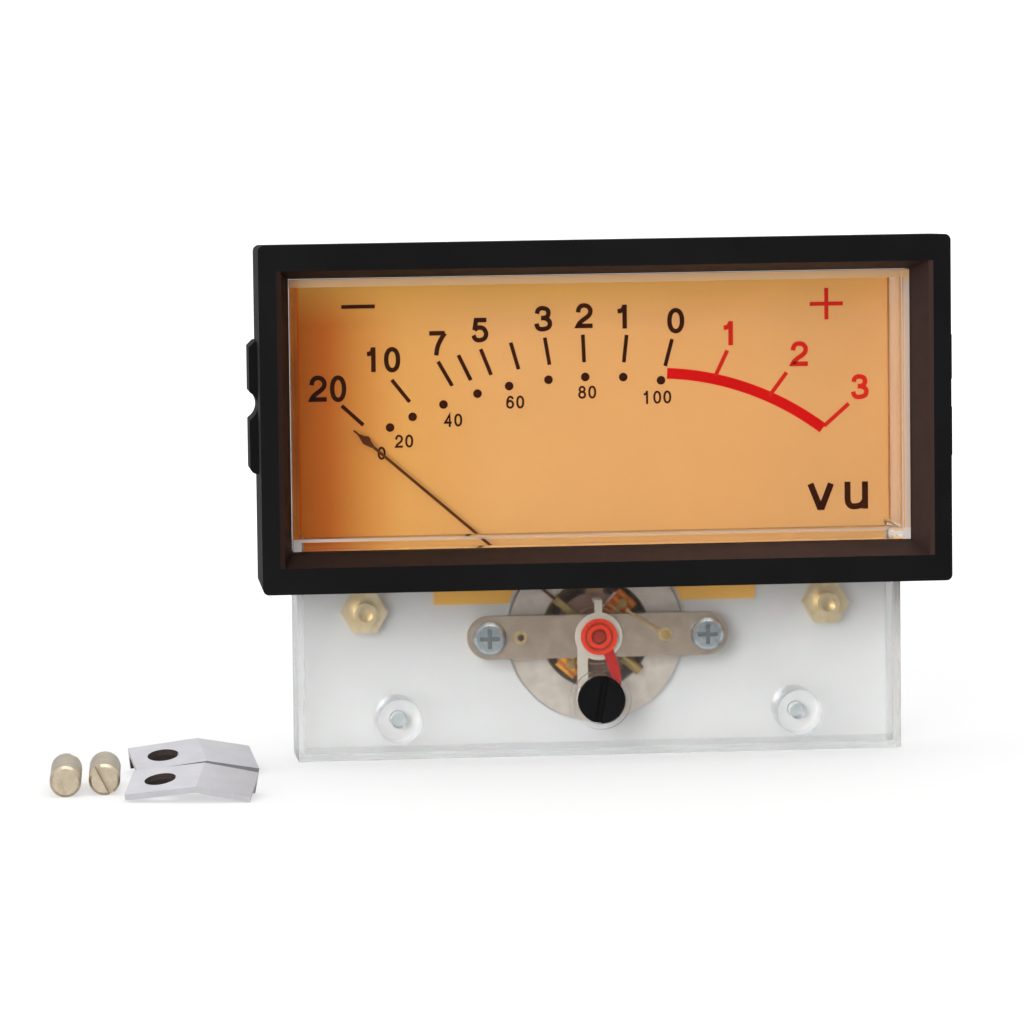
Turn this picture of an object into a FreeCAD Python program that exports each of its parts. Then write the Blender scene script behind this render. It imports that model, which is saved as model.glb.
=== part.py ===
import FreeCAD, Part
import math
import os
import re
import Sketcher

# Analog VU meter: a black bezel round the window of a clear cover, a white base with a light box
# and a movement well behind it, and a moving-coil movement that shows through the lower cover.
#
# Frame, in millimetres: +X is to the right of someone who reads the dial, +Y runs from the dial to
# the back and +Z is up. The origin is the middle of the flat bottom face that the case stands on.

# ---------------------------------------------------------------------------------------------
# Driving dimensions
# ---------------------------------------------------------------------------------------------
DIMENSIONS = {
    # bezel
    "bezel_width": 90.0,
    "bezel_height": 45.2,
    "bezel_depth": 11.3,
    "bezel_corner": 0.8,
    "bezel_wall": 1.4,
    "bezel_front": 5.0,
    "bezel_centre_height": 45.9,
    "bezel_draft_angle": 2.5,
    "frame_side": 2.9,
    "frame_rise": 3.4,
    "sight_slope": 1.35,
    "window_recess": 6.6,
    "socket_gap": 0.15,
    "side_boss_height": 17.2,
    "side_boss_rise": 1.25,
    "side_boss_proud": 1.05,
    "side_boss_depth": 5.5,
    "side_boss_chamfer": 0.75,
    "side_boss_corner": 0.9,
    "screw_channel_radius": 2.1,
    "screw_channel_rise": 1.5,
    "screw_channel_lip": 0.25,
    # clear cover
    "case_width": 79.9,
    "case_depth": 7.1,
    "cover_wall": 1.0,
    "ledge_wall": 1.4,
    "post_inset": 13.45,
    "post_height": 4.9,
    "post_radius": 3.0,
    "cap_ring_wall": 0.75,
    "cap_ring_proud": 0.8,
    "cap_seat": 0.35,
    # white base
    "rim_depth": 3.1,
    "rim_wall": 1.2,
    "base_plate": 1.5,
    "box_width": 75.0,
    "box_height": 29.0,
    "box_rise": 1.2,
    "box_depth": 7.6,
    "box_wall": 1.5,
    "well_gap": 0.15,
    "well_wall": 1.25,
    "screw_boss_radius": 3.2,
    "well_side": 0.85,
    "stud_boss_radius": 4.2,
    "boss_length": 2.6,
    "peg_spread": 17.0,
    "peg_rise": 1.9,
    "peg_radius": 0.8,
    "peg_head": 1.2,
    # dial
    "dial_thickness": 0.5,
    "dial_gap": 0.2,
    "dial_foot_rise": 5.0,
    "tab_width": 42.8,
    "tab_foot_rise": 4.15,
    "cutout_gap": 0.6,
    # movement: bearings and bridge
    "pivot_height": 15.5,
    "bridge_setback": 3.0,
    "bridge_width": 5.7,
    "bridge_thickness": 1.0,
    "bridge_screw_spread": 14.45,
    "rivet_left": 10.3,
    "rivet_right": 8.9,
    "rivet_radius": 0.9,
    "rivet_bore": 0.45,
    "rivet_head": 0.3,
    "spacer_radius": 2.4,
    "screw_radius": 1.0,
    "screw_gap": 0.1,
    "thread_gap": 0.02,
    "screw_head_radius": 2.2,
    "screw_head": 1.2,
    "screw_length": 2.2,
    "small_screw_radius": 0.8,
    "small_head_radius": 1.6,
    "small_washer_radius": 1.8,
    "small_screw_grip": 1.4,
    "jewel_screw_radius": 1.5,
    "jewel_head_radius": 2.4,
    "jewel_head": 0.6,
    "jewel_screw_reach": 0.6,
    "jewel_radius": 0.9,
    "jewel_depth": 0.7,
    "washer_thickness": 0.25,
    "lock_nut_across": 5.0,
    "lock_nut_thickness": 1.0,
    # movement: magnet system
    "core_radius": 5.4,
    "core_length": 5.8,
    "air_gap": 0.35,
    "yoke_bore": 7.3,
    "yoke_radius": 11.6,
    "yoke_length": 8.2,
    "cradle_thickness": 1.2,
    "cradle_bar_width": 2.3,
    "cradle_screw_spread": 9.5,
    # moving coil
    "former_thickness": 0.15,
    "winding_thickness": 0.7,
    "coil_width": 3.0,
    "end_gap": 0.4,
    "staff_radius": 0.55,
    "pivot_radius": 0.12,
    "pivot_length": 0.55,
    "pivot_play": 0.15,
    "spring_gap": 0.15,
    "spring_width": 0.25,
    "spring_strip": 0.12,
    "spring_inner": 1.3,
    "spring_turns": 4.5,
    "collet_radius": 1.1,
    "pointer_length": 42.1,
    "pointer_width": 0.38,
    "pointer_thickness": 0.2,
    "pointer_angle": 49.0,
    "pointer_root": 7.2,
    "root_width": 0.9,
    "lance_width": 1.1,
    "lance_length": 1.3,
    "tip_length": 0.8,
    "tip_width": 0.25,
    "hub_radius": 1.5,
    "arm_length": 5.9,
    "arm_width": 0.6,
    "weight_radius": 0.6,
    "weight_thickness": 0.35,
    "tail_weight_start": 4.6,
    "tail_weight_radius": 0.75,
    "tail_weight_length": 3.0,
    "stop_reach": 13.5,
    "stop_radius": 0.45,
    "stop_left_angle": 60.7,
    "stop_right_angle": 58.2,
    # zero adjuster
    "adjuster_height": 7.4,
    "cap_radius": 3.1,
    "cap_gap": 0.12,
    "cap_proud": 0.95,
    "cap_slot_width": 0.9,
    "cap_slot_depth": 0.6,
    "cap_slot_tilt": 10.0,
    "shaft_radius": 1.6,
    "shaft_gap": 0.06,
    "shaft_boss_radius": 2.7,
    "shaft_boss_length": 0.6,
    "clip_ring_radius": 2.5,
    "clip_ring_thickness": 0.25,
    "cam_radius": 1.4,
    "cam_offset": 1.1,
    "cam_gap": 0.1,
    "cam_length": 0.9,
    "lever_thickness": 0.4,
    "lever_ring_radius": 3.15,
    "lever_gap": 0.05,
    "leg_width": 1.35,
    "leg_length": 8.0,
    "red_leg_thickness": 0.35,
    "tail_width": 1.0,
    "anchor_reach": 4.35,
    "anchor_thickness": 0.5,
    # terminals
    "stud_inset": 9.25,
    "stud_height": 19.0,
    "stud_radius": 1.5,
    "stud_bore": 0.95,
    "stud_bore_depth": 1.6,
    "stud_front": 4.4,
    "stud_back": 10.6,
    "stud_tail_radius": 1.2,
    "stud_tail_length": 4.0,
    "nut_across": 5.3,
    "nut_thickness": 2.4,
    "lug_thickness": 0.4,
    "lug_radius": 3.0,
    "lug_length": 9.0,
    "washer_radius": 3.1,
    "strip_width": 3.2,
    # lamps
    "lamp_spread": 20.0,
    "lamp_radius": 2.1,
    "lamp_length": 2.4,
    "lamp_holder_radius": 2.9,
    "lamp_flange_radius": 3.9,
    "lamp_flange": 0.9,
    "lamp_holder_back": 2.6,
    "lamp_pin_radius": 0.4,
    "lamp_pin_length": 3.0,
    "lamp_pin_spread": 1.3,
    # loose fixing kit
    "kit_screw_radius": 2.0,
    "kit_screw_length": 13.0,
    "kit_slot_width": 0.7,
    "kit_slot_depth": 1.0,
    "kit_chamfer": 0.35,
    "clip_width": 8.6,
    "clip_thickness": 0.8,
    "clip_long_leg": 9.15,
    "clip_short_leg": 7.0,
    "clip_long_slope": 6.7,
    "clip_short_slope": 11.0,
    "clip_flange": 2.6,
    "clip_hole_reach": 5.1,
    # where the loose kit lies, outside the bezel's left side and in front of the case, how it is
    # turned about +Z and how far the set screws are rolled
    "left_screw_out": 25.8,
    "left_screw_ahead": 20.2,
    "right_screw_out": 21.4,
    "right_screw_ahead": 32.2,
    "front_clip_out": 10.3,
    "front_clip_ahead": 41.2,
    "rear_clip_out": 7.6,
    "rear_clip_ahead": 16.7,
    "left_screw_angle": 177.5,
    "right_screw_angle": -2.5,
    "roll_angle": 63.0,
    "front_clip_angle": -10.7,
    "rear_clip_angle": 5.7,
}

# Places that follow from the dimensions. Y places start with y_, Z places with z_.
PLACES = {
    "sight_width": "bezel_width - 2 * frame_side",
    "sight_height": "bezel_height - 2 * frame_rise",
    "window_width": "sight_width - 2 * sight_slope - 2 * socket_gap",
    "window_height": "sight_height - 2 * sight_slope - 2 * socket_gap",
    "stud_spread": "case_width / 2 - stud_inset",
    "post_spread": "case_width / 2 - post_inset",
    "z_dial_foot": "stud_height + dial_foot_rise",
    "z_tab_foot": "pivot_height + tab_foot_rise",
    "z_peg": "stud_height + dial_foot_rise + peg_rise",
    "y_cover": "-(case_depth + rim_depth) / 2",
    "y_bezel": "y_cover - bezel_depth",
    "y_window": "y_bezel + window_recess",
    "y_cover_inner": "y_cover + cover_wall",
    "y_base": "y_cover + case_depth",
    "y_plate_back": "y_base + base_plate",
    "y_rim": "y_base + rim_depth",
    "y_boss": "y_plate_back + boss_length",
    "y_box_back": "y_base + box_depth",
    "y_dial": "y_base - dial_thickness",
    "z_ledge": "bezel_centre_height - window_height / 2",
    "z_top": "bezel_centre_height + window_height / 2",
    "z_box": "bezel_centre_height + box_rise",
    "y_bridge": "y_cover + bridge_setback",
    "y_bridge_back": "y_bridge + bridge_thickness",
    "y_washer": "y_bridge - washer_thickness",
    "y_lever_back": "y_washer - lever_gap",
    "y_lever": "y_lever_back - lever_thickness",
    "y_jewel_head": "y_lever - lever_gap - jewel_head",
    "y_jewel_end": "y_bridge_back + jewel_screw_reach",
    "y_spring": "y_jewel_end + spring_gap",
    "y_spring_back": "y_spring + spring_width",
    "y_pointer": "y_spring_back + spring_gap",
    "y_pointer_back": "y_pointer + pointer_thickness",
    "y_coil": "y_pointer_back + spring_gap",
    "coil_build": "former_thickness + winding_thickness",
    "y_core": "y_coil + coil_build + end_gap",
    "y_core_back": "y_core + core_length",
    "y_coil_back": "y_core_back + end_gap + coil_build",
    "y_rear_spring": "y_coil_back + spring_gap",
    "y_cradle": "y_rear_spring + spring_width + spring_gap",
    "y_cradle_back": "y_cradle + cradle_thickness",
    "y_well_back": "y_cradle_back + well_wall",
    "y_yoke": "y_cradle - yoke_length",
    "coil_inner": "core_radius + air_gap",
    "well_radius": "yoke_radius + well_gap",
    "well_outer": "well_radius + well_side",
    "cap_bore": "cap_radius + cap_gap",
    "y_cap": "y_cover - cap_proud",
    "y_cap_seat": "y_cover + cap_seat",
    "y_shaft_boss": "y_cover_inner + shaft_boss_length",
    "y_clip_ring": "y_shaft_boss + lever_gap",
    "y_cam": "y_clip_ring + clip_ring_thickness",
    "z_cam": "adjuster_height + cam_offset",
    "y_strip_back": "y_boss + lug_thickness",
    "y_clamp_nut": "y_strip_back",
    "y_lug": "y_clamp_nut + nut_thickness",
    "y_stud_washer": "y_lug + lug_thickness",
    "y_outer_nut": "y_stud_washer + lug_thickness",
    "z_link": "pivot_height + screw_boss_radius + air_gap + strip_width / 2",
    "clip_tilt": "atan((clip_flange - clip_thickness) / (clip_width - clip_thickness))",
}

DOC = FreeCAD.newDocument("vu_meter")
NODES = {}


# ---------------------------------------------------------------------------------------------
# Sheets and expressions
# ---------------------------------------------------------------------------------------------
def qualified(text):
    """Put the name of its sheet before every alias of an expression."""
    def with_sheet(match):
        word = match.group(0)
        if word in DIMENSIONS:
            return "dims." + word
        if word in PLACES:
            return "places." + word
        return word
    return re.sub(r"[a-z][a-z_]*", with_sheet, text)


def make_sheets():
    dims = DOC.addObject("Spreadsheet::Sheet", "dims")
    for row, (alias, value) in enumerate(DIMENSIONS.items(), start=1):
        dims.set(f"A{row}", alias)
        dims.set(f"B{row}", str(value))
        dims.setAlias(f"B{row}", alias)
    DOC.recompute()
    places = DOC.addObject("Spreadsheet::Sheet", "places")
    for row, alias in enumerate(PLACES, start=1):
        places.set(f"A{row}", alias)
        places.setAlias(f"B{row}", alias)
    for row, formula in enumerate(PLACES.values(), start=1):
        places.set(f"B{row}", "=" + qualified(formula).replace("places.", ""))
    DOC.recompute()
    return dims, places


DIMS_SHEET, PLACES_SHEET = make_sheets()


def size(alias):
    sheet = DIMS_SHEET if alias in DIMENSIONS else PLACES_SHEET
    return float(sheet.get(alias))


def bind(thing, **properties):
    """Bind properties such as Length or Placement__Base__x to expressions."""
    for name, text in properties.items():
        thing.setExpression(name.replace("__", "."), qualified(text))
    return thing


def node(name, thing):
    thing.Label = name
    NODES[name] = thing
    return thing


# ---------------------------------------------------------------------------------------------
# Part primitives, with every size and place bound to the sheets
# ---------------------------------------------------------------------------------------------
ALONG_Y = FreeCAD.Rotation(FreeCAD.Vector(1, 0, 0), -90)


def rod(radius, y_from, y_to, x="0", z="0"):
    """A cylinder that runs along Y."""
    thing = DOC.addObject("Part::Cylinder", "rod")
    thing.Placement.Rotation = ALONG_Y
    return bind(thing, Radius=radius, Height=f"({y_to}) - ({y_from})",
                Placement__Base__x=x, Placement__Base__y=y_from, Placement__Base__z=z)


def cone(radius_from, radius_to, y_from, y_to, x="0", z="0"):
    """A cone that runs along Y."""
    thing = DOC.addObject("Part::Cone", "cone")
    thing.Placement.Rotation = ALONG_Y
    return bind(thing, Radius1=radius_from, Radius2=radius_to, Height=f"({y_to}) - ({y_from})",
                Placement__Base__x=x, Placement__Base__y=y_from, Placement__Base__z=z)


def hexagon(across, y_from, y_to, x="0", z="0"):
    """A six-sided bar along Y with two corners to the sides."""
    thing = DOC.addObject("Part::Prism", "hexagon")
    thing.Polygon = 6
    thing.Placement.Rotation = ALONG_Y
    return bind(thing, Circumradius=f"({across}) / 2 / cos(30)", Height=f"({y_to}) - ({y_from})",
                Placement__Base__x=x, Placement__Base__y=y_from, Placement__Base__z=z)


def block(x_range, y_range, z_range):
    """A box between three pairs of limits."""
    thing = DOC.addObject("Part::Box", "block")
    return bind(thing,
                Length=f"({x_range[1]}) - ({x_range[0]})",
                Width=f"({y_range[1]}) - ({y_range[0]})",
                Height=f"({z_range[1]}) - ({z_range[0]})",
                Placement__Base__x=x_range[0],
                Placement__Base__y=y_range[0],
                Placement__Base__z=z_range[0])


def strip(start, end, width, y_from, y_to):
    """A flat bar from one point of the XZ plane to another, between two depths."""
    run, rise = f"(({end[0]}) - ({start[0]}))", f"(({end[1]}) - ({start[1]}))"
    length = f"sqrt({run} ^ 2 + {rise} ^ 2)"
    thing = DOC.addObject("Part::Box", "strip")
    thing.Placement.Rotation = FreeCAD.Rotation(FreeCAD.Vector(0, -1, 0), 10)
    return bind(thing, Length=length, Width=f"({y_to}) - ({y_from})", Height=width,
                Placement__Rotation__Angle=f"atan2({rise}; {run})",
                Placement__Base__x=f"({start[0]}) + ({width}) / 2 * {rise} / {length}",
                Placement__Base__y=y_from,
                Placement__Base__z=f"({start[1]}) - ({width}) / 2 * {run} / {length}")


def taper(low_width, high_width, y_range, z_range):
    """A flat bar round x = 0 whose width changes on the way up."""
    thing = DOC.addObject("Part::Wedge", "taper")
    thing.Placement.Rotation = FreeCAD.Rotation(FreeCAD.Vector(1, 0, 0), 90)
    depth = f"({y_range[1]}) - ({y_range[0]})"
    return bind(thing, Xmin=f"-({low_width}) / 2", Xmax=f"({low_width}) / 2",
                X2min=f"-({high_width}) / 2", X2max=f"({high_width}) / 2",
                Ymin="0", Ymax=f"({z_range[1]}) - ({z_range[0]})",
                Zmin="0", Z2min="0", Zmax=depth, Z2max=depth,
                Placement__Base__y=y_range[1], Placement__Base__z=z_range[0])


def ball(radius, x, y, z):
    thing = DOC.addObject("Part::Sphere", "ball")
    return bind(thing, Radius=radius,
                Placement__Base__x=x, Placement__Base__y=y, Placement__Base__z=z)


def fuse(*things):
    thing = DOC.addObject("Part::MultiFuse", "fusion")
    thing.Shapes = list(things)
    return thing


def cut(base, *tools):
    thing = DOC.addObject("Part::Cut", "cut")
    thing.Base = base
    thing.Tool = tools[0] if len(tools) == 1 else fuse(*tools)
    return thing


def group(*things):
    """Separate solids that share one node."""
    thing = DOC.addObject("Part::Compound", "group")
    thing.Links = list(things)
    return thing


def ring(radius, bore, y_from, y_to, x="0", z="0"):
    return cut(rod(radius, y_from, y_to, x, z), rod(bore, y_from, y_to, x, z))


def pair(make, spread):
    """The same piece on the left and on the right."""
    return group(make(f"-({spread})"), make(spread))


# ---------------------------------------------------------------------------------------------
# Sketches and PartDesign features
# ---------------------------------------------------------------------------------------------
def body(name):
    return DOC.addObject("PartDesign::Body", name)


def origin_plane(owner, role):
    return next(feature for feature in owner.Origin.OriginFeatures if feature.Role == role)


def sketch(owner, y, x="0", z="0"):
    """A sketch that faces -Y, with its own origin at x, y, z."""
    flat = owner.newObject("Sketcher::SketchObject", "sketch")
    flat.AttachmentSupport = [(origin_plane(owner, "XZ_Plane"), "")]
    flat.MapMode = "FlatFace"
    return bind(flat, AttachmentOffset__Base__x=x, AttachmentOffset__Base__y=z,
                AttachmentOffset__Base__z=f"-({y})")


def rectangle(flat, width, height):
    """A rectangle centred on the sketch's origin."""
    corners = [(-1, -1), (1, -1), (1, 1), (-1, 1)]
    points = [FreeCAD.Vector(x, z, 0) for x, z in corners]
    first = flat.GeometryCount
    for index in range(4):
        flat.addGeometry(Part.LineSegment(points[index], points[(index + 1) % 4]))
    for index in range(4):
        flat.addConstraint(Sketcher.Constraint("Coincident", first + index, 2,
                                               first + (index + 1) % 4, 1))
    for index, kind in enumerate(("Horizontal", "Vertical", "Horizontal", "Vertical")):
        flat.addConstraint(Sketcher.Constraint(kind, first + index))
    flat.addConstraint(Sketcher.Constraint("Symmetric", first, 1, first + 2, 1, -1, 1))
    start = points[2] - points[0]
    across = flat.addConstraint(Sketcher.Constraint("DistanceX", first, 1, first, 2, start.x))
    flat.setExpression(f"Constraints[{across}]", qualified(width))
    upright = flat.addConstraint(Sketcher.Constraint("DistanceY", first + 1, 1, first + 1, 2,
                                                     start.y))
    flat.setExpression(f"Constraints[{upright}]", qualified(height))
    return flat


def circle(flat, radius):
    """A circle round the sketch's origin."""
    index = flat.addGeometry(Part.Circle(FreeCAD.Vector(0, 0, 0), FreeCAD.Vector(0, 0, 1), 1.0))
    flat.addConstraint(Sketcher.Constraint("Coincident", index, 3, -1, 1))
    span = flat.addConstraint(Sketcher.Constraint("Radius", index, 1.0))
    flat.setExpression(f"Constraints[{span}]", qualified(radius))
    return flat


def pad(owner, flat, length):
    """Add material from the sketch towards the back."""
    feature = owner.newObject("PartDesign::Pad", "pad")
    feature.Profile = flat
    feature.Reversed = True
    return bind(feature, Length=length)


def pocket(owner, flat, length):
    """Take material away from the sketch towards the back."""
    feature = owner.newObject("PartDesign::Pocket", "pocket")
    feature.Profile = flat
    return bind(feature, Length=length)


def mirror(owner, *features):
    """Repeat features on the other side of the meter."""
    feature = owner.newObject("PartDesign::Mirrored", "mirror")
    feature.Originals = list(features)
    feature.MirrorPlane = (origin_plane(owner, "YZ_Plane"), [""])
    owner.Tip = feature
    return feature


def edges_where(feature, test):
    """Names of the straight edges whose middle passes a test on x, y, z and direction."""
    DOC.recompute()
    names = []
    for index, edge in enumerate(feature.Shape.Edges, start=1):
        if edge.Curve.TypeId != "Part::GeomLine":
            continue
        middle = edge.valueAt((edge.FirstParameter + edge.LastParameter) / 2)
        if test(middle, edge.tangentAt(edge.FirstParameter)):
            names.append(f"Edge{index}")
    return names


def faces_where(feature, test):
    """Names of the flat faces whose outward normal passes a test."""
    DOC.recompute()
    return [f"Face{index}" for index, face in enumerate(feature.Shape.Faces, start=1)
            if test(face.normalAt(0, 0))]


def round_edges(owner, feature, radius, test):
    fillet = owner.newObject("PartDesign::Fillet", "fillet")
    fillet.Base = (feature, edges_where(feature, test))
    return bind(fillet, Radius=radius)


def bevel_edges(owner, feature, width, test):
    chamfer = owner.newObject("PartDesign::Chamfer", "chamfer")
    chamfer.Base = (feature, edges_where(feature, test))
    return bind(chamfer, Size=width)


# ---------------------------------------------------------------------------------------------
# Casing
# ---------------------------------------------------------------------------------------------
def make_bezel():
    owner = body("bezel_body")
    middle = "bezel_centre_height"
    outer = pad(owner, rectangle(sketch(owner, "y_bezel", z=middle), "bezel_width", "bezel_height"),
                "bezel_depth")
    # The top and bottom faces lean inwards on their way back.
    draft = owner.newObject("PartDesign::Draft", "draft")
    draft.Base = (outer, faces_where(outer, lambda normal: abs(normal.z) > 0.9))
    draft.NeutralPlane = (outer, faces_where(outer, lambda normal: normal.y < -0.9))
    bind(draft, Angle="bezel_draft_angle")
    half = size("bezel_width") / 2

    def outer_corner(point, direction):
        return abs(direction.y) > 0.9 and abs(abs(point.x) - half) < 0.01
    round_edges(owner, draft, "bezel_corner", outer_corner)

    # The sight opening narrows from the front face to the window, then runs straight round it.
    sight = owner.newObject("PartDesign::SubtractiveLoft", "sight")
    sight.Profile = rectangle(sketch(owner, "y_bezel", z=middle), "sight_width", "sight_height")
    sight.Sections = [rectangle(sketch(owner, "y_window", z=middle),
                                "sight_width - 2 * sight_slope", "sight_height - 2 * sight_slope")]
    sight.Ruled = True
    pocket(owner, rectangle(sketch(owner, "y_window", z=middle),
                            "sight_width - 2 * sight_slope", "sight_height - 2 * sight_slope"),
           "bezel_depth - window_recess")

    # A channel in the back keeps the frame's walls thin.
    channel = sketch(owner, "y_bezel + bezel_front", z=middle)
    rectangle(channel, "bezel_width - 2 * bezel_wall", "bezel_height - 2 * bezel_wall")
    rectangle(channel, "sight_width - sight_slope + 2 * bezel_wall",
              "sight_height - sight_slope + 2 * bezel_wall")
    pocket(owner, channel, "bezel_depth - bezel_front")

    # Side bosses, with a half-round channel for the set screw of a mounting clip.
    boss_sketch = rectangle(sketch(owner, "y_cover - side_boss_depth",
                                   "(bezel_width + side_boss_proud) / 2",
                                   "bezel_centre_height + side_boss_rise"),
                            "side_boss_proud", "side_boss_height")
    boss = pad(owner, boss_sketch, "side_boss_depth")
    outside = half + size("side_boss_proud")
    boss_middle = size("bezel_centre_height") + size("side_boss_rise")

    def boss_edge(point, direction):
        return abs(direction.y) > 0.9 and abs(point.x - outside) < 0.01

    def upper_edge(point, direction):
        return boss_edge(point, direction) and point.z > boss_middle

    def lower_edge(point, direction):
        return boss_edge(point, direction) and point.z < boss_middle

    def lip(point, direction):
        return boss_edge(point, direction) and abs(point.z - channel_height) < channel_reach
    bevel = bevel_edges(owner, boss, "side_boss_chamfer", upper_edge)
    corner = round_edges(owner, bevel, "side_boss_corner", lower_edge)
    channel_height = size("bezel_centre_height") + size("screw_channel_rise")
    channel_reach = size("screw_channel_radius") * 1.1
    channel_sketch = circle(sketch(owner, "y_cover - side_boss_depth",
                                   "bezel_width / 2 + screw_channel_radius",
                                   "bezel_centre_height + screw_channel_rise"),
                            "screw_channel_radius")
    scallop = pocket(owner, channel_sketch, "side_boss_depth")
    lips = round_edges(owner, scallop, "screw_channel_lip", lip)
    mirror(owner, boss, bevel, corner, scallop, lips)
    node("bezel", owner)


def make_front_cover():
    owner = body("cover_body")
    middle = "bezel_centre_height"
    lower_height = "z_ledge + ledge_wall"
    pad(owner, rectangle(sketch(owner, "y_window", z=middle), "window_width", "window_height"),
        "y_base - y_window")
    pad(owner, rectangle(sketch(owner, "y_cover", z="z_ledge / 2"), "case_width", "z_ledge"),
        "case_depth")
    # Cavity behind the window, above the ledge, and cavity behind the lower front.
    pocket(owner,
           rectangle(sketch(owner, "y_window + cover_wall",
                            z="(z_ledge + ledge_wall + z_top - cover_wall) / 2"),
                     "window_width - 2 * cover_wall",
                     "window_height - ledge_wall - cover_wall"),
           "y_base - y_window - cover_wall")
    pocket(owner,
           rectangle(sketch(owner, "y_cover_inner", z=f"({lower_height} + cover_wall) / 2"),
                     "case_width - 2 * cover_wall", f"{lower_height} - cover_wall"),
           "case_depth - cover_wall")
    # Round ring outside and bearing boss inside for the zero adjuster.
    pad(owner, circle(sketch(owner, "y_cover - cap_ring_proud", z="adjuster_height"),
                      "cap_bore + cap_ring_wall"), "cap_ring_proud + cover_wall / 2")
    pad(owner, circle(sketch(owner, "y_cover + cover_wall / 2", z="adjuster_height"),
                      "shaft_boss_radius"), "cover_wall / 2 + shaft_boss_length")
    pocket(owner, circle(sketch(owner, "y_cover - cap_ring_proud", z="adjuster_height"),
                         "cap_bore"), "cap_ring_proud + cap_seat")
    pocket(owner, circle(sketch(owner, "y_cover", z="adjuster_height"),
                         "shaft_radius + shaft_gap"), "cover_wall + shaft_boss_length")
    # Posts that take the case screws.
    post = pad(owner, circle(sketch(owner, "y_cover + cover_wall / 2", "post_spread",
                                    "post_height"), "post_radius"),
               "case_depth - cover_wall / 2")
    pilot = pocket(owner, circle(sketch(owner, "y_base - screw_length - base_plate", "post_spread",
                                        "post_height"), "screw_radius + thread_gap"),
                   "screw_length + base_plate")
    mirror(owner, post, pilot)
    node("front_cover", owner)


def make_rear_base():
    owner = body("base_body")
    middle = "bezel_centre_height"
    pad(owner, rectangle(sketch(owner, "y_base", z=middle), "window_width", "window_height"),
        "rim_depth")
    pad(owner, rectangle(sketch(owner, "y_base", z="z_ledge / 2"), "case_width", "z_ledge"),
        "rim_depth")
    # The back is a tray: the plate stays, with a rim round it.
    pocket(owner, rectangle(sketch(owner, "y_plate_back", z="(z_ledge + z_top) / 2"),
                            "window_width - 2 * rim_wall", "window_height - 2 * rim_wall"),
           "rim_depth")
    pocket(owner, rectangle(sketch(owner, "y_plate_back", z="(z_ledge + 2 * rim_wall) / 2"),
                            "case_width - 2 * rim_wall", "z_ledge"), "rim_depth")
    # Light box behind the dial and well round the movement.
    pad(owner, rectangle(sketch(owner, "y_base + base_plate / 2", z="z_box"),
                         "box_width + 2 * box_wall", "box_height + 2 * box_wall"),
        "box_depth - base_plate / 2")
    pad(owner, circle(sketch(owner, "y_base + base_plate / 2", z="pivot_height"), "well_outer"),
        "y_well_back - y_base - base_plate / 2")
    bosses = []
    for spread, height, radius in (("stud_spread", "stud_height", "stud_boss_radius"),
                                   ("bridge_screw_spread", "pivot_height", "screw_boss_radius")):
        flat = circle(sketch(owner, "y_base + base_plate / 2", spread, height), radius)
        bosses.append(pad(owner, flat, "boss_length + base_plate / 2"))
    mirror(owner, *bosses)
    pocket(owner, rectangle(sketch(owner, "y_base", z="z_box"), "box_width", "box_height"),
           "box_depth - box_wall")
    pocket(owner, circle(sketch(owner, "y_base", z="pivot_height"), "well_radius"),
           "y_cradle_back - y_base")
    pocket(owner, circle(sketch(owner, "y_cradle_back", z="pivot_height"),
                         "lock_nut_across / 2 / cos(30) + screw_gap"), "well_wall")
    holes = []
    for spread, height, radius, start, depth in (
            ("stud_spread", "stud_height", "stud_radius + screw_gap", "y_base", "rim_depth * 3"),
            ("bridge_screw_spread", "pivot_height", "small_screw_radius + screw_gap", "y_base",
             "rim_depth * 3"),
            ("post_spread", "post_height", "screw_radius + screw_gap", "y_base", "rim_depth"),
            ("cradle_screw_spread", "pivot_height", "screw_radius + screw_gap", "y_cradle_back",
             "well_wall"),
            ("lamp_spread", "z_box", "lamp_holder_radius + screw_gap", "y_base", "box_depth")):
        holes.append(pocket(owner, circle(sketch(owner, start, spread, height), radius), depth))
    mirror(owner, *holes)
    # Pegs with flattened heads that hold the dial.
    peg = pad(owner, circle(sketch(owner, "y_dial - dial_thickness / 2", "peg_spread", "z_peg"),
                            "peg_radius"),
              "y_base + base_plate / 2 - y_dial + dial_thickness / 2")
    head = pad(owner, circle(sketch(owner, "y_dial - dial_thickness", "peg_spread", "z_peg"),
                             "peg_head"), "dial_thickness")
    mirror(owner, peg, head)
    node("rear_base", owner)


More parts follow.
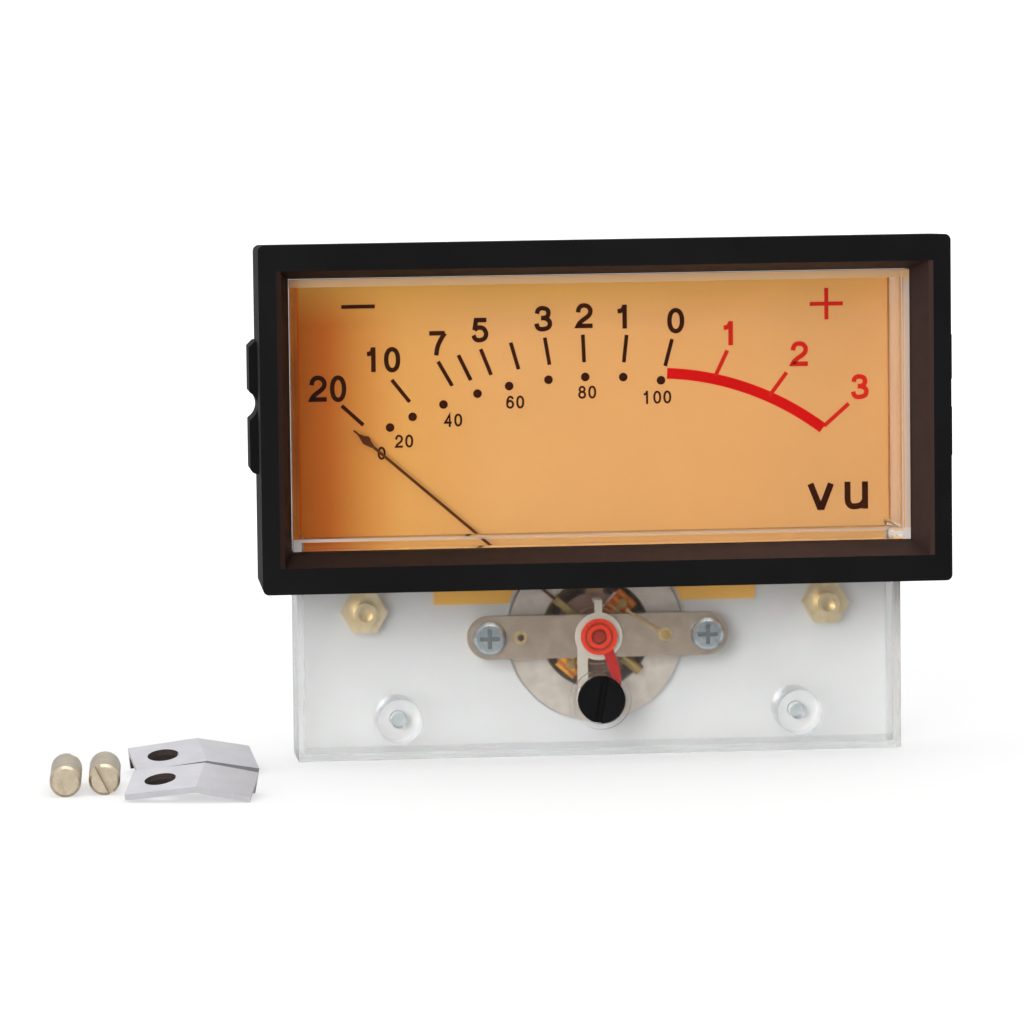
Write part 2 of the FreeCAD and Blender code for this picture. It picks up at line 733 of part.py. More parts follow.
def make_dial_plate():
    owner = body("dial_body")
    inner_width = "case_width - 2 * cover_wall - 2 * dial_gap"
    window_inner = "window_width - 2 * cover_wall - 2 * dial_gap"
    top = "z_top - cover_wall - dial_gap"
    shoulder = "z_ledge + ledge_wall + dial_gap"
    pad(owner, rectangle(sketch(owner, "y_dial", z=f"({top} + z_dial_foot) / 2"),
                         inner_width, f"{top} - z_dial_foot"), "dial_thickness")
    # Above the ledge the plate is as wide as the window.
    pad(owner, rectangle(sketch(owner, "y_dial", z=f"({top} + {shoulder}) / 2"),
                         window_inner, f"{top} - ({shoulder})"), "dial_thickness")
    pad(owner, rectangle(sketch(owner, "y_dial", z="(z_peg + z_tab_foot) / 2"),
                         "tab_width", "z_peg - z_tab_foot"), "dial_thickness")
    pocket(owner, circle(sketch(owner, "y_dial", z="pivot_height"), "yoke_radius + cutout_gap"),
           "dial_thickness")
    peg_hole = pocket(owner, circle(sketch(owner, "y_dial", "peg_spread", "z_peg"),
                                    "peg_radius + screw_gap"), "dial_thickness")
    mirror(owner, peg_hole)
    for side, angle in (("-", "stop_left_angle"), ("", "stop_right_angle")):
        flat = sketch(owner, "y_dial", f"{side}stop_reach * sin({angle})",
                      f"pivot_height + stop_reach * cos({angle})")
        owner.Tip = pocket(owner, circle(flat, "stop_radius + screw_gap"), "dial_thickness")
    node("dial_plate", owner)


# ---------------------------------------------------------------------------------------------
# Screws and nuts
# ---------------------------------------------------------------------------------------------
def rear_screw(x, z, y_seat, reach, radius="screw_radius", head="screw_head_radius"):
    """A pan-head screw put in from the back, with a cross recess."""
    stem = fuse(rod(radius, f"{y_seat} - ({reach})", y_seat, x, z),
                rod(head, y_seat, f"{y_seat} + screw_head", x, z))
    return cut(stem, *cross_recess(x, z, f"{y_seat} + screw_head / 2", f"{y_seat} + screw_head",
                                   head))


def front_screw(x, z, y_seat, reach, head="screw_head_radius"):
    """The same screw put in from the front, with a domed head."""
    stem = fuse(rod("screw_radius", y_seat, f"{y_seat} + {reach}", x, z),
                cone(f"{head} * 0.8", head, f"{y_seat} - screw_head",
                     f"{y_seat} - screw_head * 0.6", x, z),
                rod(head, f"{y_seat} - screw_head * 0.6", y_seat, x, z))
    return cut(stem, *cross_recess(x, z, f"{y_seat} - screw_head", f"{y_seat} - screw_head / 2",
                                   head))


def cross_recess(x, z, y_from, y_to, head):
    arm, half = f"{head} * 0.6", f"{head} * 0.13"
    depth = (y_from, y_to)
    return (block((f"{x} - {arm}", f"{x} + {arm}"), depth, (f"{z} - {half}", f"{z} + {half}")),
            block((f"{x} - {half}", f"{x} + {half}"), depth, (f"{z} - {arm}", f"{z} + {arm}")))


def hex_nut(x, z, y_from, y_to, across="nut_across", bore="stud_radius + thread_gap"):
    return cut(hexagon(across, y_from, y_to, x, z), rod(bore, y_from, y_to, x, z))


# ---------------------------------------------------------------------------------------------
# Fixed parts of the movement
# ---------------------------------------------------------------------------------------------
def make_bridge():
    owner = body("bridge_body")
    pad(owner, rectangle(sketch(owner, "y_bridge", z="pivot_height"), "2 * bridge_screw_spread",
                         "bridge_width"), "bridge_thickness")
    end = pad(owner, circle(sketch(owner, "y_bridge", "bridge_screw_spread", "pivot_height"),
                            "bridge_width / 2"), "bridge_thickness")
    mirror(owner, end)
    hole_places = (("0", "jewel_screw_radius + thread_gap"),
                   ("-bridge_screw_spread", "screw_radius + screw_gap"),
                   ("bridge_screw_spread", "screw_radius + screw_gap"),
                   ("-rivet_left", "rivet_radius * 0.6"),
                   ("rivet_right", "rivet_radius * 0.6"))
    for x, radius in hole_places:
        owner.Tip = pocket(owner, circle(sketch(owner, "y_bridge", x, "pivot_height"), radius),
                           "bridge_thickness")
    node("front_bridge", owner)
    z = "pivot_height"
    grip = "(y_base - small_screw_grip)"
    node("bridge_screws", pair(lambda x: front_screw(x, z, "y_bridge", f"{grip} - screw_gap"
                                                     " - y_bridge"),
                               "bridge_screw_spread"))
    node("bridge_spacers", pair(lambda x: cut(rod("spacer_radius", "y_bridge_back", "y_base", x, z),
                                              rod("screw_radius + thread_gap", "y_bridge_back",
                                                  grip, x, z),
                                              rod("small_screw_radius + thread_gap", grip,
                                                  "y_base", x, z)),
                                "bridge_screw_spread"))
    node("spacer_screws", pair(lambda x: rear_screw(x, z, "y_strip_back",
                                                    f"y_strip_back - {grip} - screw_gap",
                                                    "small_screw_radius", "small_head_radius"),
                               "bridge_screw_spread"))
    node("insulating_washer", ring("small_washer_radius", "small_screw_radius + screw_gap",
                                   "y_boss", "y_strip_back", "-bridge_screw_spread", z))

    def rivet(x):
        shell = fuse(rod("rivet_radius", "y_bridge - rivet_head", "y_bridge", x, "pivot_height"),
                     rod("rivet_radius * 0.6 - thread_gap", "y_bridge", "y_bridge_back", x,
                         "pivot_height"))
        return cut(shell, rod("rivet_bore", "y_bridge - rivet_head", "y_bridge_back", x,
                              "pivot_height"))
    node("bridge_rivets", group(rivet("-rivet_left"), rivet("rivet_right")))


def make_bearings():
    z = "pivot_height"
    screw = fuse(rod("jewel_head_radius", "y_jewel_head", "y_lever - lever_gap", "0", z),
                 rod("jewel_screw_radius", "y_lever - lever_gap", "y_jewel_end", "0", z))
    grooves = [ring(f"jewel_head_radius * {outer}", f"jewel_head_radius * {inner}",
                    "y_jewel_head", "y_jewel_head + jewel_head / 4", "0", z)
               for outer, inner in ((0.78, 0.66), (0.42, 0.3))]
    seat = rod("jewel_radius", "y_jewel_end - jewel_depth", "y_jewel_end", "0", z)
    node("front_jewel_screw", cut(screw, seat, *grooves))
    node("friction_washer", ring("lever_ring_radius * 0.8", "jewel_screw_radius + thread_gap",
                                 "y_washer", "y_bridge", "0", z))

    def jewel(y_mouth, way):
        """A cup bearing whose mouth faces the coil."""
        deep = f"{y_mouth} {way} jewel_depth"
        floor = f"{y_mouth} {way} jewel_depth * 0.85"
        low, high = (deep, y_mouth) if way == "-" else (y_mouth, deep)
        disc = rod("jewel_radius - thread_gap", low, high, "0", z)
        if way == "-":
            return cut(disc, cone("pivot_radius", "jewel_radius * 0.85", floor, y_mouth, "0", z))
        return cut(disc, cone("jewel_radius * 0.85", "pivot_radius", y_mouth, floor, "0", z))
    node("front_jewel", jewel("y_jewel_end", "-"))
    node("rear_jewel", jewel("y_cradle + jewel_depth / 4", "+"))

    rear = rod("jewel_screw_radius", "y_cradle + jewel_depth / 4",
               "y_well_back + lock_nut_thickness / 4", "0", z)
    rear_seat = rod("jewel_radius", "y_cradle + jewel_depth / 4",
                    "y_cradle + jewel_depth * 1.25", "0", z)
    rear_slot = block(("-jewel_screw_radius", "jewel_screw_radius"),
                      ("y_well_back - jewel_head / 2", "y_well_back + lock_nut_thickness"),
                      ("pivot_height - rivet_bore / 2", "pivot_height + rivet_bore / 2"))
    node("rear_jewel_screw", cut(rear, rear_seat, rear_slot))
    node("rear_lock_nut", hex_nut("0", z, "y_cradle_back", "y_cradle_back + lock_nut_thickness",
                                  "lock_nut_across", "jewel_screw_radius + thread_gap"))


def make_magnet_system():
    z = "pivot_height"
    screw_holes = [rod("screw_radius + thread_gap", "y_cradle - screw_length", "y_cradle", x, z)
                   for x in ("-cradle_screw_spread", "cradle_screw_spread")]
    node("yoke_ring", cut(ring("yoke_radius", "yoke_bore", "y_yoke", "y_cradle", "0", z),
                          *screw_holes))
    node("core_magnet", rod("core_radius", "y_core", "y_core_back", "0", z))
    half = "cradle_bar_width / 2"
    bars = [block((f"-{half}", half), ("y_core", "y_cradle_back"),
                  (f"{z} - yoke_bore + air_gap", f"{z} - core_radius * 0.9")),
            block((f"-{half}", half), ("y_core", "y_cradle_back"),
                  (f"{z} + core_radius * 0.9", f"{z} + yoke_bore - air_gap"))]
    anchor = block((f"-{half}", half), ("y_rear_spring", "y_cradle_back"),
                   (f"{z} + anchor_reach", f"{z} + core_radius"))
    plate = rod("yoke_radius", "y_cradle", "y_cradle_back", "0", z)
    holes = [rod("jewel_screw_radius + thread_gap", "y_cradle", "y_cradle_back", "0", z)]
    holes += [rod("screw_radius + screw_gap", "y_cradle", "y_cradle_back", x, z)
              for x in ("-cradle_screw_spread", "cradle_screw_spread")]
    core_room = rod("core_radius + thread_gap", "y_core", "y_core_back", "0", z)
    node("core_cradle", cut(fuse(plate, anchor, *bars), core_room, *holes))
    node("cradle_screws", pair(lambda x: rear_screw(x, z, "y_well_back + lug_thickness",
                                                    "well_wall + lug_thickness + cradle_thickness"
                                                    " + screw_length * 0.8"),
                               "cradle_screw_spread"))
    node("cradle_washer", ring("screw_head_radius", "screw_radius + screw_gap", "y_well_back",
                               "y_well_back + lug_thickness", "cradle_screw_spread", z))


def spiral_strip(y_from, inner, outer, turns, width, strip, centre_z, mirrored):
    """A flat spiral spring round the Y axis, as a thin strip on edge."""
    sign = -1 if mirrored else 1

    def curve(shift):
        steps = int(turns * 24)
        points = []
        for step in range(steps + 1):
            angle = math.pi / 2 - sign * 2 * math.pi * turns * (1 - step / steps)
            radius = inner + (outer - inner) * step / steps + shift
            points.append(FreeCAD.Vector(radius * math.cos(angle), y_from,
                                         centre_z + radius * math.sin(angle)))
        line = Part.BSplineCurve()
        line.interpolate(points)
        return line.toShape()
    near, far = curve(-strip / 2), curve(strip / 2)
    ends = [Part.makeLine(near.valueAt(near.FirstParameter), far.valueAt(far.FirstParameter)),
            Part.makeLine(near.valueAt(near.LastParameter), far.valueAt(far.LastParameter))]
    face = Part.Face(Part.Wire(Part.__sortEdges__([near, ends[1], far, ends[0]])))
    return face.extrude(FreeCAD.Vector(0, width, 0))


def make_hairsprings():
    turns = size("spring_turns")
    outer = size("anchor_reach") - size("spring_strip") / 2
    for name, place, mirrored in (("hairspring_front", "y_spring", False),
                                  ("hairspring_rear", "y_rear_spring", True)):
        spring = DOC.addObject("Part::Feature", name + "_strip")
        spring.Shape = spiral_strip(size(place), size("spring_inner"), outer, turns,
                                    size("spring_width"), size("spring_strip"),
                                    size("pivot_height"), mirrored)
        node(name, spring)


def make_lead_wire():
    """A bare wire from the right rivet that hooks over the bridge's upper edge."""
    half = "rivet_bore / 3"
    front, back = f"y_bridge - rivet_head - {half}", f"y_bridge_back + {half}"
    high = "(pivot_height + bridge_width / 2 + rivet_bore)"
    low = "(pivot_height + bridge_width / 2 - rivet_radius)"
    inner = "anchor_reach * 0.9"
    depth = (f"{front} - {half}", f"{front} + {half}")
    run = strip(("rivet_right", "pivot_height"), (inner, high), f"2 * {half}", *depth)
    over = block((f"{inner} - {half}", f"{inner} + {half}"), (f"{front} - {half}", f"{back} + {half}"),
                 (high, f"{high} + 2 * {half}"))
    drop = block((f"{inner} - {half}", f"{inner} + {half}"), (f"{back} - {half}", f"{back} + {half}"),
                 (low, f"{high} + {half}"))
    foot = rod("rivet_radius * 0.7", *depth, "rivet_right", "pivot_height")
    node("lead_wire", fuse(run, over, drop, foot))


def make_stop_pins():
    pins = [rod("stop_radius", "y_spring_back", "y_base", f"{side}stop_reach * sin({angle})",
                f"pivot_height + stop_reach * cos({angle})")
            for side, angle in (("-", "stop_left_angle"), ("", "stop_right_angle"))]
    node("stop_pins", group(*pins))


# ---------------------------------------------------------------------------------------------
# Moving coil and pointer. They are drawn with the pointer straight up and then turned about the
# pivot to the rest angle, so the same angle places all of them.
# ---------------------------------------------------------------------------------------------
def on_pivot(name, thing):
    """Turn a piece of the moving coil about the pivot and name it."""
    thing.Placement.Rotation = FreeCAD.Rotation(FreeCAD.Vector(0, -1, 0), size("pointer_angle"))
    bind(thing, Placement__Base__z="pivot_height", Placement__Rotation__Angle="pointer_angle")
    return node(name, thing)


def coil_frame(inner, thickness, width):
    """A rectangular loop round the core: sides at +X and -X, ends before and behind the core."""
    outer = f"({inner}) + {thickness}"
    grow = f"({inner}) - coil_inner"
    y_in, y_out = f"y_core - end_gap - ({grow})", f"y_core - end_gap - ({grow}) - {thickness}"
    y_in_back, y_out_back = f"y_core_back + end_gap + {grow}", \
        f"y_core_back + end_gap + {grow} + {thickness}"
    half = f"({width}) / 2"
    return cut(block((f"-({outer})", outer), (y_out, y_out_back), (f"-{half}", half)),
               block((f"-({inner})", inner), (y_in, y_in_back), (f"-({width})", width)))


def make_moving_coil():
    on_pivot("coil_former", coil_frame("coil_inner", "former_thickness",
                                       "coil_width + 2 * former_thickness"))
    on_pivot("coil_winding", coil_frame("coil_inner + former_thickness", "winding_thickness",
                                        "coil_width"))
    tip = "y_jewel_end - jewel_depth * 0.85 + pivot_play"
    on_pivot("front_staff", fuse(rod("staff_radius", f"{tip} + pivot_length", "y_coil"),
                                 cone("pivot_radius", "staff_radius", tip,
                                      f"{tip} + pivot_length")))
    rear_tip = "y_cradle + jewel_depth * 1.1 - pivot_play"
    on_pivot("rear_staff", fuse(rod("staff_radius", "y_coil_back", f"{rear_tip} - pivot_length"),
                                cone("staff_radius", "pivot_radius",
                                     f"{rear_tip} - pivot_length", rear_tip)))
    on_pivot("spring_collets",
             group(ring("collet_radius", "staff_radius", "y_spring", "y_spring_back"),
                   ring("collet_radius", "staff_radius", "y_rear_spring",
                        "y_rear_spring + spring_width")))

    # Pointer: a narrow strip with a lance near its end and a fine tip.
    depth = ("y_pointer", "y_pointer_back")
    lance_top = "pointer_length - tip_length"
    on_pivot("pointer", fuse(
        taper("pointer_width", "pointer_width", depth,
              ("pointer_root", f"{lance_top} - 2 * lance_length")),
        taper("pointer_width", "lance_width", depth,
              (f"{lance_top} - 2 * lance_length", f"{lance_top} - lance_length")),
        taper("lance_width", "tip_width", depth, (f"{lance_top} - lance_length", lance_top)),
        taper("tip_width", "tip_width", depth, (lance_top, "pointer_length"))))

    # Balance cross in the same plane: the pointer's root, two side arms and a tail with weights.
    half = "arm_width / 2"
    on_pivot("balance_cross", cut(
        fuse(rod("hub_radius", *depth),
             taper("root_width", "root_width", depth, ("0", "pointer_root")),
             taper("arm_width", "arm_width", depth, ("-tail_weight_start - arm_width", "0")),
             block(("-arm_length", "arm_length"), depth, (f"-{half}", half))),
        rod("staff_radius", *depth)))
    reach = "arm_length - weight_radius"
    tail = DOC.addObject("Part::Cylinder", "tail_weight")
    bind(tail, Radius="tail_weight_radius", Height="tail_weight_length",
         Placement__Base__y="(y_pointer + y_pointer_back) / 2",
         Placement__Base__z="-(tail_weight_start + tail_weight_length)")
    socket = taper("arm_width", "arm_width", depth, ("-tail_weight_start - arm_width", "0"))
    on_pivot("balance_weights", group(
        cut(tail, socket),
        *[rod("weight_radius", "y_pointer - weight_thickness", "y_pointer", x, "0")
          for x in (reach, f"-({reach})")]))


# ---------------------------------------------------------------------------------------------
# Zero adjuster
# ---------------------------------------------------------------------------------------------
def make_zero_adjuster():
    z = "adjuster_height"
    cap = fuse(rod("cap_radius", "y_cap", "y_cap_seat - lever_gap", "0", z),
               rod("shaft_radius", "y_cap_seat - lever_gap", "y_cam", "0", z),
               rod("cam_radius", "y_cam", "y_cam + cam_length", "0", "z_cam"))
    side, rise = "cap_radius * sin(cap_slot_tilt)", "cap_radius * cos(cap_slot_tilt)"
    slit = strip((f"-{side}", f"{z} - {rise}"), (side, f"{z} + {rise}"), "cap_slot_width",
                 "y_cap", "y_cap + cap_slot_depth")
    node("zero_adjuster", cut(cap, slit))
    node("adjuster_clip", ring("clip_ring_radius", "shaft_radius", "y_clip_ring", "y_cam", "0", z))


def make_zero_lever():
    owner = body("lever_body")
    foot = "pivot_height - leg_length"
    leg_place = "(cam_radius + cam_gap + leg_width / 2)"
    pad(owner, circle(sketch(owner, "y_lever", z="pivot_height"), "lever_ring_radius"),
        "lever_thickness")
    pad(owner, rectangle(sketch(owner, "y_lever", f"-{leg_place}", "pivot_height - leg_length / 2"),
                         "leg_width", "leg_length"), "lever_thickness")
    pad(owner, rectangle(sketch(owner, "y_lever", z="pivot_height + anchor_reach / 2"),
                         "tail_width", "anchor_reach + anchor_thickness * 2"), "lever_thickness")
    # The tail ends in a tab that holds the outer end of the front hairspring.
    pad(owner, rectangle(sketch(owner, "y_lever",
                                z="pivot_height + anchor_reach + anchor_thickness / 2"),
                         "tail_width", "anchor_thickness"), "y_spring_back - y_lever")
    bore = circle(sketch(owner, "y_lever", z="pivot_height"), "jewel_screw_radius + shaft_gap")
    owner.Tip = pocket(owner, bore, "lever_thickness")
    node("zero_lever", owner)

    # The other leg of the fork is a red strip on the front of the ring.
    depth = ("y_lever - red_leg_thickness", "y_lever")
    knee = "(z_cam + cam_radius + leg_width / 2)"
    inner, outer = f"{leg_place} - leg_width / 2", f"{leg_place} + leg_width / 2"
    leg = fuse(block((inner, outer), depth, (foot, knee)),
               rod("leg_width / 2", *depth, leg_place, knee),
               strip((leg_place, knee),
                     ("jewel_head_radius / 2", "pivot_height - jewel_head_radius * 0.8"),
                     "leg_width", *depth))
    node("lever_red_leg", cut(leg, rod("jewel_head_radius + lever_gap", *depth, "0",
                                       "pivot_height")))


# ---------------------------------------------------------------------------------------------
# Terminals and lamps
# ---------------------------------------------------------------------------------------------
def make_terminals():
    z = "stud_height"
    for name, x in (("terminal_stud_left", "-stud_spread"), ("terminal_stud_right", "stud_spread")):
        front = "y_base - stud_front"
        node(name, cut(fuse(rod("stud_radius", front, "y_base + stud_back", x, z),
                            rod("stud_tail_radius", "y_base + stud_back",
                                "y_base + stud_back + stud_tail_length", x, z)),
                       rod("stud_bore", front, f"{front} + stud_bore_depth", x, z)))
    node("terminal_inner_nuts", pair(lambda x: hex_nut(x, z, "y_base - nut_thickness", "y_base"),
                                     "stud_spread"))
    node("terminal_clamp_nuts", pair(lambda x: hex_nut(x, z, "y_clamp_nut", "y_lug"),
                                     "stud_spread"))
    node("terminal_washers", pair(lambda x: ring("washer_radius", "stud_radius + screw_gap",
                                                 "y_stud_washer", "y_outer_nut", x, z),
                                  "stud_spread"))
    node("terminal_outer_nuts", pair(lambda x: hex_nut(x, z, "y_outer_nut",
                                                       "y_outer_nut + nut_thickness"),
                                     "stud_spread"))

    def lug(x):
        """A solder lug that hangs down from the stud, with an eye for the wire."""
        depth = ("y_lug", "y_stud_washer")
        blank = fuse(rod("lug_radius", *depth, x, z),
                     block((f"{x} - lug_radius / 2", f"{x} + lug_radius / 2"), depth,
                           (f"{z} - lug_length", z)))
        return cut(blank, rod("stud_radius + screw_gap", *depth, x, z),
                   rod("lug_radius / 4", *depth, x, f"{z} - lug_length + lug_radius / 2"))
    node("solder_lugs", pair(lug, "stud_spread"))


def make_link_strips():
    """Brass strips on the back: one to the floor of the well, one to the bridge."""
    flat = ("y_boss", "y_strip_back")
    floor = ("y_well_back", "y_well_back + lug_thickness")
    half = "strip_width / 2"
    level = (f"z_link - {half}", f"z_link + {half}")
    wall = "-(well_outer + lug_thickness)"
    screw = ("-cradle_screw_spread", "pivot_height")
    left = fuse(rod("lug_radius", *flat, "-stud_spread", "stud_height"),
                block(("-stud_spread", "-well_outer"), flat, level),
                block((wall, "-well_outer"), ("y_boss", "y_well_back + lug_thickness"), level),
                block((wall, f"-cradle_screw_spread + {half}"), floor, level),
                block((f"-cradle_screw_spread - {half}", f"-cradle_screw_spread + {half}"), floor,
                      ("pivot_height", "z_link")),
                rod("screw_head_radius", *floor, *screw))
    node("link_strip_left", cut(left, rod("stud_radius + screw_gap", *flat, "-stud_spread",
                                          "stud_height"),
                                rod("screw_radius + screw_gap", *floor, *screw)))
    screw = ("bridge_screw_spread", "pivot_height")
    right = fuse(strip(screw, ("stud_spread", "stud_height"), "strip_width", *flat),
                 rod("lug_radius", *flat, "stud_spread", "stud_height"),
                 rod("small_washer_radius", *flat, *screw))
    node("link_strip_right", cut(right, rod("stud_radius + screw_gap", *flat, "stud_spread",
                                            "stud_height"),
                                 rod("small_screw_radius + screw_gap", *flat, *screw)))


def make_lamps():
    z = "z_box"
    floor = "y_box_back - box_wall"

    def bulb(x):
        top = f"{floor} - lamp_length"
        return fuse(rod("lamp_radius", top, floor, x, z),
                    ball("lamp_radius", x, top, z))

    def holder(x):
        return fuse(rod("lamp_holder_radius", floor, "y_box_back + lamp_holder_back", x, z),
                    rod("lamp_flange_radius", "y_box_back", "y_box_back + lamp_flange", x, z))

    def pins(x):
        y_from = "y_box_back + lamp_holder_back"
        return group(*[rod("lamp_pin_radius", y_from, f"{y_from} + lamp_pin_length",
                           f"{x} {side} lamp_pin_spread", z) for side in "-+"])
    node("lamp_bulbs", pair(bulb, "lamp_spread"))
    node("lamp_holders", pair(holder, "lamp_spread"))
    node("lamp_pins", pair(pins, "lamp_spread"))


def make_case_screws():
    node("case_screws", pair(lambda x: rear_screw(x, "post_height", "y_plate_back",
                                                  "base_plate + screw_length"),
                             "post_spread"))


# ---------------------------------------------------------------------------------------------
# Loose fixing kit
# ---------------------------------------------------------------------------------------------
def set_screw():
    """A headless M4 screw along Y with a slot across its front end."""
    r, end = "kit_screw_radius", "kit_screw_length"
    stem = fuse(cone(f"{r} - kit_chamfer", r, "0", "kit_chamfer"),
                rod(r, "kit_chamfer", f"{end} - kit_chamfer"),
                cone(r, f"{r} - kit_chamfer", f"{end} - kit_chamfer", end))
    return cut(stem, block((f"-{r}", r), ("0", "kit_slot_depth"),
                           ("-kit_slot_width / 2", "kit_slot_width / 2")))


def clip_leg(length, slope, way):
    """One leg of a clip, with a flange along its back edge, that slopes down from the bend."""
    x_range = ("0", length) if way > 0 else (f"-{length}", "0")
    leg = fuse(block(x_range, ("0", "clip_width"), ("-clip_thickness", "0")),
               block(x_range, ("clip_width - clip_thickness", "clip_width"), ("-clip_flange", "0")))
    leg.Placement.Rotation = FreeCAD.Rotation(FreeCAD.Vector(0, way, 0), 10)
    return bind(leg, Placement__Rotation__Angle=slope)


def mounting_clip():
    """A bent strip with a hole for the set screw in its long leg."""
    hole = DOC.addObject("Part::Cylinder", "screw_hole")
    bind(hole, Radius="kit_screw_radius + thread_gap", Height="clip_flange * 2",
         Placement__Base__x="-clip_hole_reach", Placement__Base__y="clip_width / 2",
         Placement__Base__z="-clip_flange * 1.5")
    long_leg = cut(clip_leg("clip_long_leg", "clip_long_slope", -1), hole)
    return fuse(long_leg, clip_leg("clip_short_leg", "clip_short_slope", 1))


def stand(name, thing, x, y, turn, lean):
    """Lean a piece, turn it about +Z and set its lowest point on the standing plane."""
    spin = FreeCAD.Rotation(FreeCAD.Vector(0, 0, 1), turn)
    thing.Placement.Rotation = spin.multiply(lean)
    DOC.recompute()
    thing.Placement.Base = FreeCAD.Vector(x, y, -thing.Shape.optimalBoundingBox().ZMin)
    node(name, thing)


def make_kit():
    side = size("bezel_width") / 2
    roll = FreeCAD.Rotation(FreeCAD.Vector(0, 1, 0), size("roll_angle"))
    for name in ("left", "right"):
        stand(f"set_screw_{name}", set_screw(), -side - size(f"{name}_screw_out"),
              -size(f"{name}_screw_ahead"), size(f"{name}_screw_angle"), roll)
    tilt = FreeCAD.Rotation(FreeCAD.Vector(1, 0, 0), size("clip_tilt"))
    for name in ("front", "rear"):
        stand(f"mounting_clip_{name}", mounting_clip(), -side - size(f"{name}_clip_out"),
              -size(f"{name}_clip_ahead"), size(f"{name}_clip_angle"), tilt)


# ---------------------------------------------------------------------------------------------
# Build, check and export
# ---------------------------------------------------------------------------------------------
def check_document():
    broken = [thing.Name for thing in DOC.Objects
              if "Invalid" in thing.State or "Error" in thing.State]
    if broken:
        raise RuntimeError("failed objects: " + ", ".join(broken))
    for name, thing in NODES.items():
        if thing.Shape.isNull() or not thing.Shape.isValid() or not thing.Shape.Solids:
            raise RuntimeError("bad shape: " + name)


def export_parts():
    os.makedirs("parts", exist_ok=True)
    for name, thing in NODES.items():
        thing.Shape.exportStep(f"parts/{name}.step")
        print(f"{name}: {len(thing.Shape.Solids)} solid(s), {thing.Shape.Volume:.2f} mm3")


make_bezel()
make_front_cover()
make_rear_base()
make_dial_plate()
make_case_screws()
make_bridge()
make_bearings()
make_magnet_system()
make_hairsprings()
make_lead_wire()
make_stop_pins()
make_moving_coil()
make_zero_adjuster()
make_zero_lever()
make_terminals()
make_link_strips()
make_lamps()
make_kit()
DOC.recompute()
check_document()
export_parts()
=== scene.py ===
import math

import bmesh
import bpy
from mathutils import Matrix, Vector


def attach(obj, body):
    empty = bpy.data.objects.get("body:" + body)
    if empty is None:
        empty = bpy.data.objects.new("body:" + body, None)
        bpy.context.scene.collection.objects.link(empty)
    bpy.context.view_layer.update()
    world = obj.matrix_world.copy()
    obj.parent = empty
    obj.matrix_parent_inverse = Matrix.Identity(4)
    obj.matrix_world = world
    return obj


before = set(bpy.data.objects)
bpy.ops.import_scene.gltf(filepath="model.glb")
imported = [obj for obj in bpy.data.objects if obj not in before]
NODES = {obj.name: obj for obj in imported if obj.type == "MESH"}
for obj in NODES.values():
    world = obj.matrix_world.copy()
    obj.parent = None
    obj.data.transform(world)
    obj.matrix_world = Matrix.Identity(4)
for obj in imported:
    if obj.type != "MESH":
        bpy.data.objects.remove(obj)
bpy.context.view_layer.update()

MM = 0.001
MICRON = 0.000001

# Places on the meter, in mm, as the solids have them. First the heights.
PIVOT_HEIGHT = 15.5
BEZEL_MIDDLE = 45.9
WINDOW_FOOT = 28.2
LEDGE_TOP = 29.6
ROOF_FOOT = 62.6
# To the side: the window's outer faces, and the inner face of its right wall.
WINDOW_SIDE = 40.6
RIGHT_WALL = 39.6
# Along Y: the front faces of the bezel, the window and the dial.
BEZEL_FRONT = -16.4
WINDOW_FRONT = -9.8
DIAL_FACE = 1.5
# A place this close to a face counts as lying on it.
REACH = 0.1
# The window takes the dial's colour from this height up.
AMBER_FOOT = 28.5

# ---------------------------------------------------------------- the camera
# It looks at the meter from slightly left and above, as the photograph does.
CAMERA_AZIMUTH = math.radians(-6.493)
CAMERA_ELEVATION = math.radians(4.492)
CAMERA_ROLL = math.radians(-0.689)
CAMERA_DISTANCE = 831.158
CAMERA_AIM = Vector((-12.61, BEZEL_FRONT, 33.463))
FRONT_CENTRE = Vector((-0.2, BEZEL_FRONT, BEZEL_MIDDLE))
CAMERA_LENS = 225.83
SENSOR_WIDTH = 36.0
# What it sees lies between these two distances, in metres.
CAMERA_NEAR, CAMERA_FAR = 0.01, 100


def make_camera():
    azimuth, elevation = CAMERA_AZIMUTH, CAMERA_ELEVATION
    back = Vector((math.sin(azimuth) * math.cos(elevation),
                   -math.cos(azimuth) * math.cos(elevation), math.sin(elevation)))
    place = FRONT_CENTRE + back * CAMERA_DISTANCE
    forward = (CAMERA_AIM - place).normalized()
    right = forward.cross(Vector((0, 0, 1))).normalized()
    up = right.cross(forward)
    c, s = math.cos(CAMERA_ROLL), math.sin(CAMERA_ROLL)
    turned_right, turned_up = right * c + up * s, up * c - right * s
    turn = Matrix((turned_right, turned_up, -forward)).transposed()
    data = bpy.data.cameras.new("camera")
    data.sensor_width, data.lens = SENSOR_WIDTH, CAMERA_LENS
    data.clip_start, data.clip_end = CAMERA_NEAR, CAMERA_FAR
    camera = bpy.data.objects.new("camera", data)
    camera.matrix_world = Matrix.Translation(place * MM) @ turn.to_4x4()
    bpy.context.scene.collection.objects.link(camera)
    bpy.context.scene.camera = camera


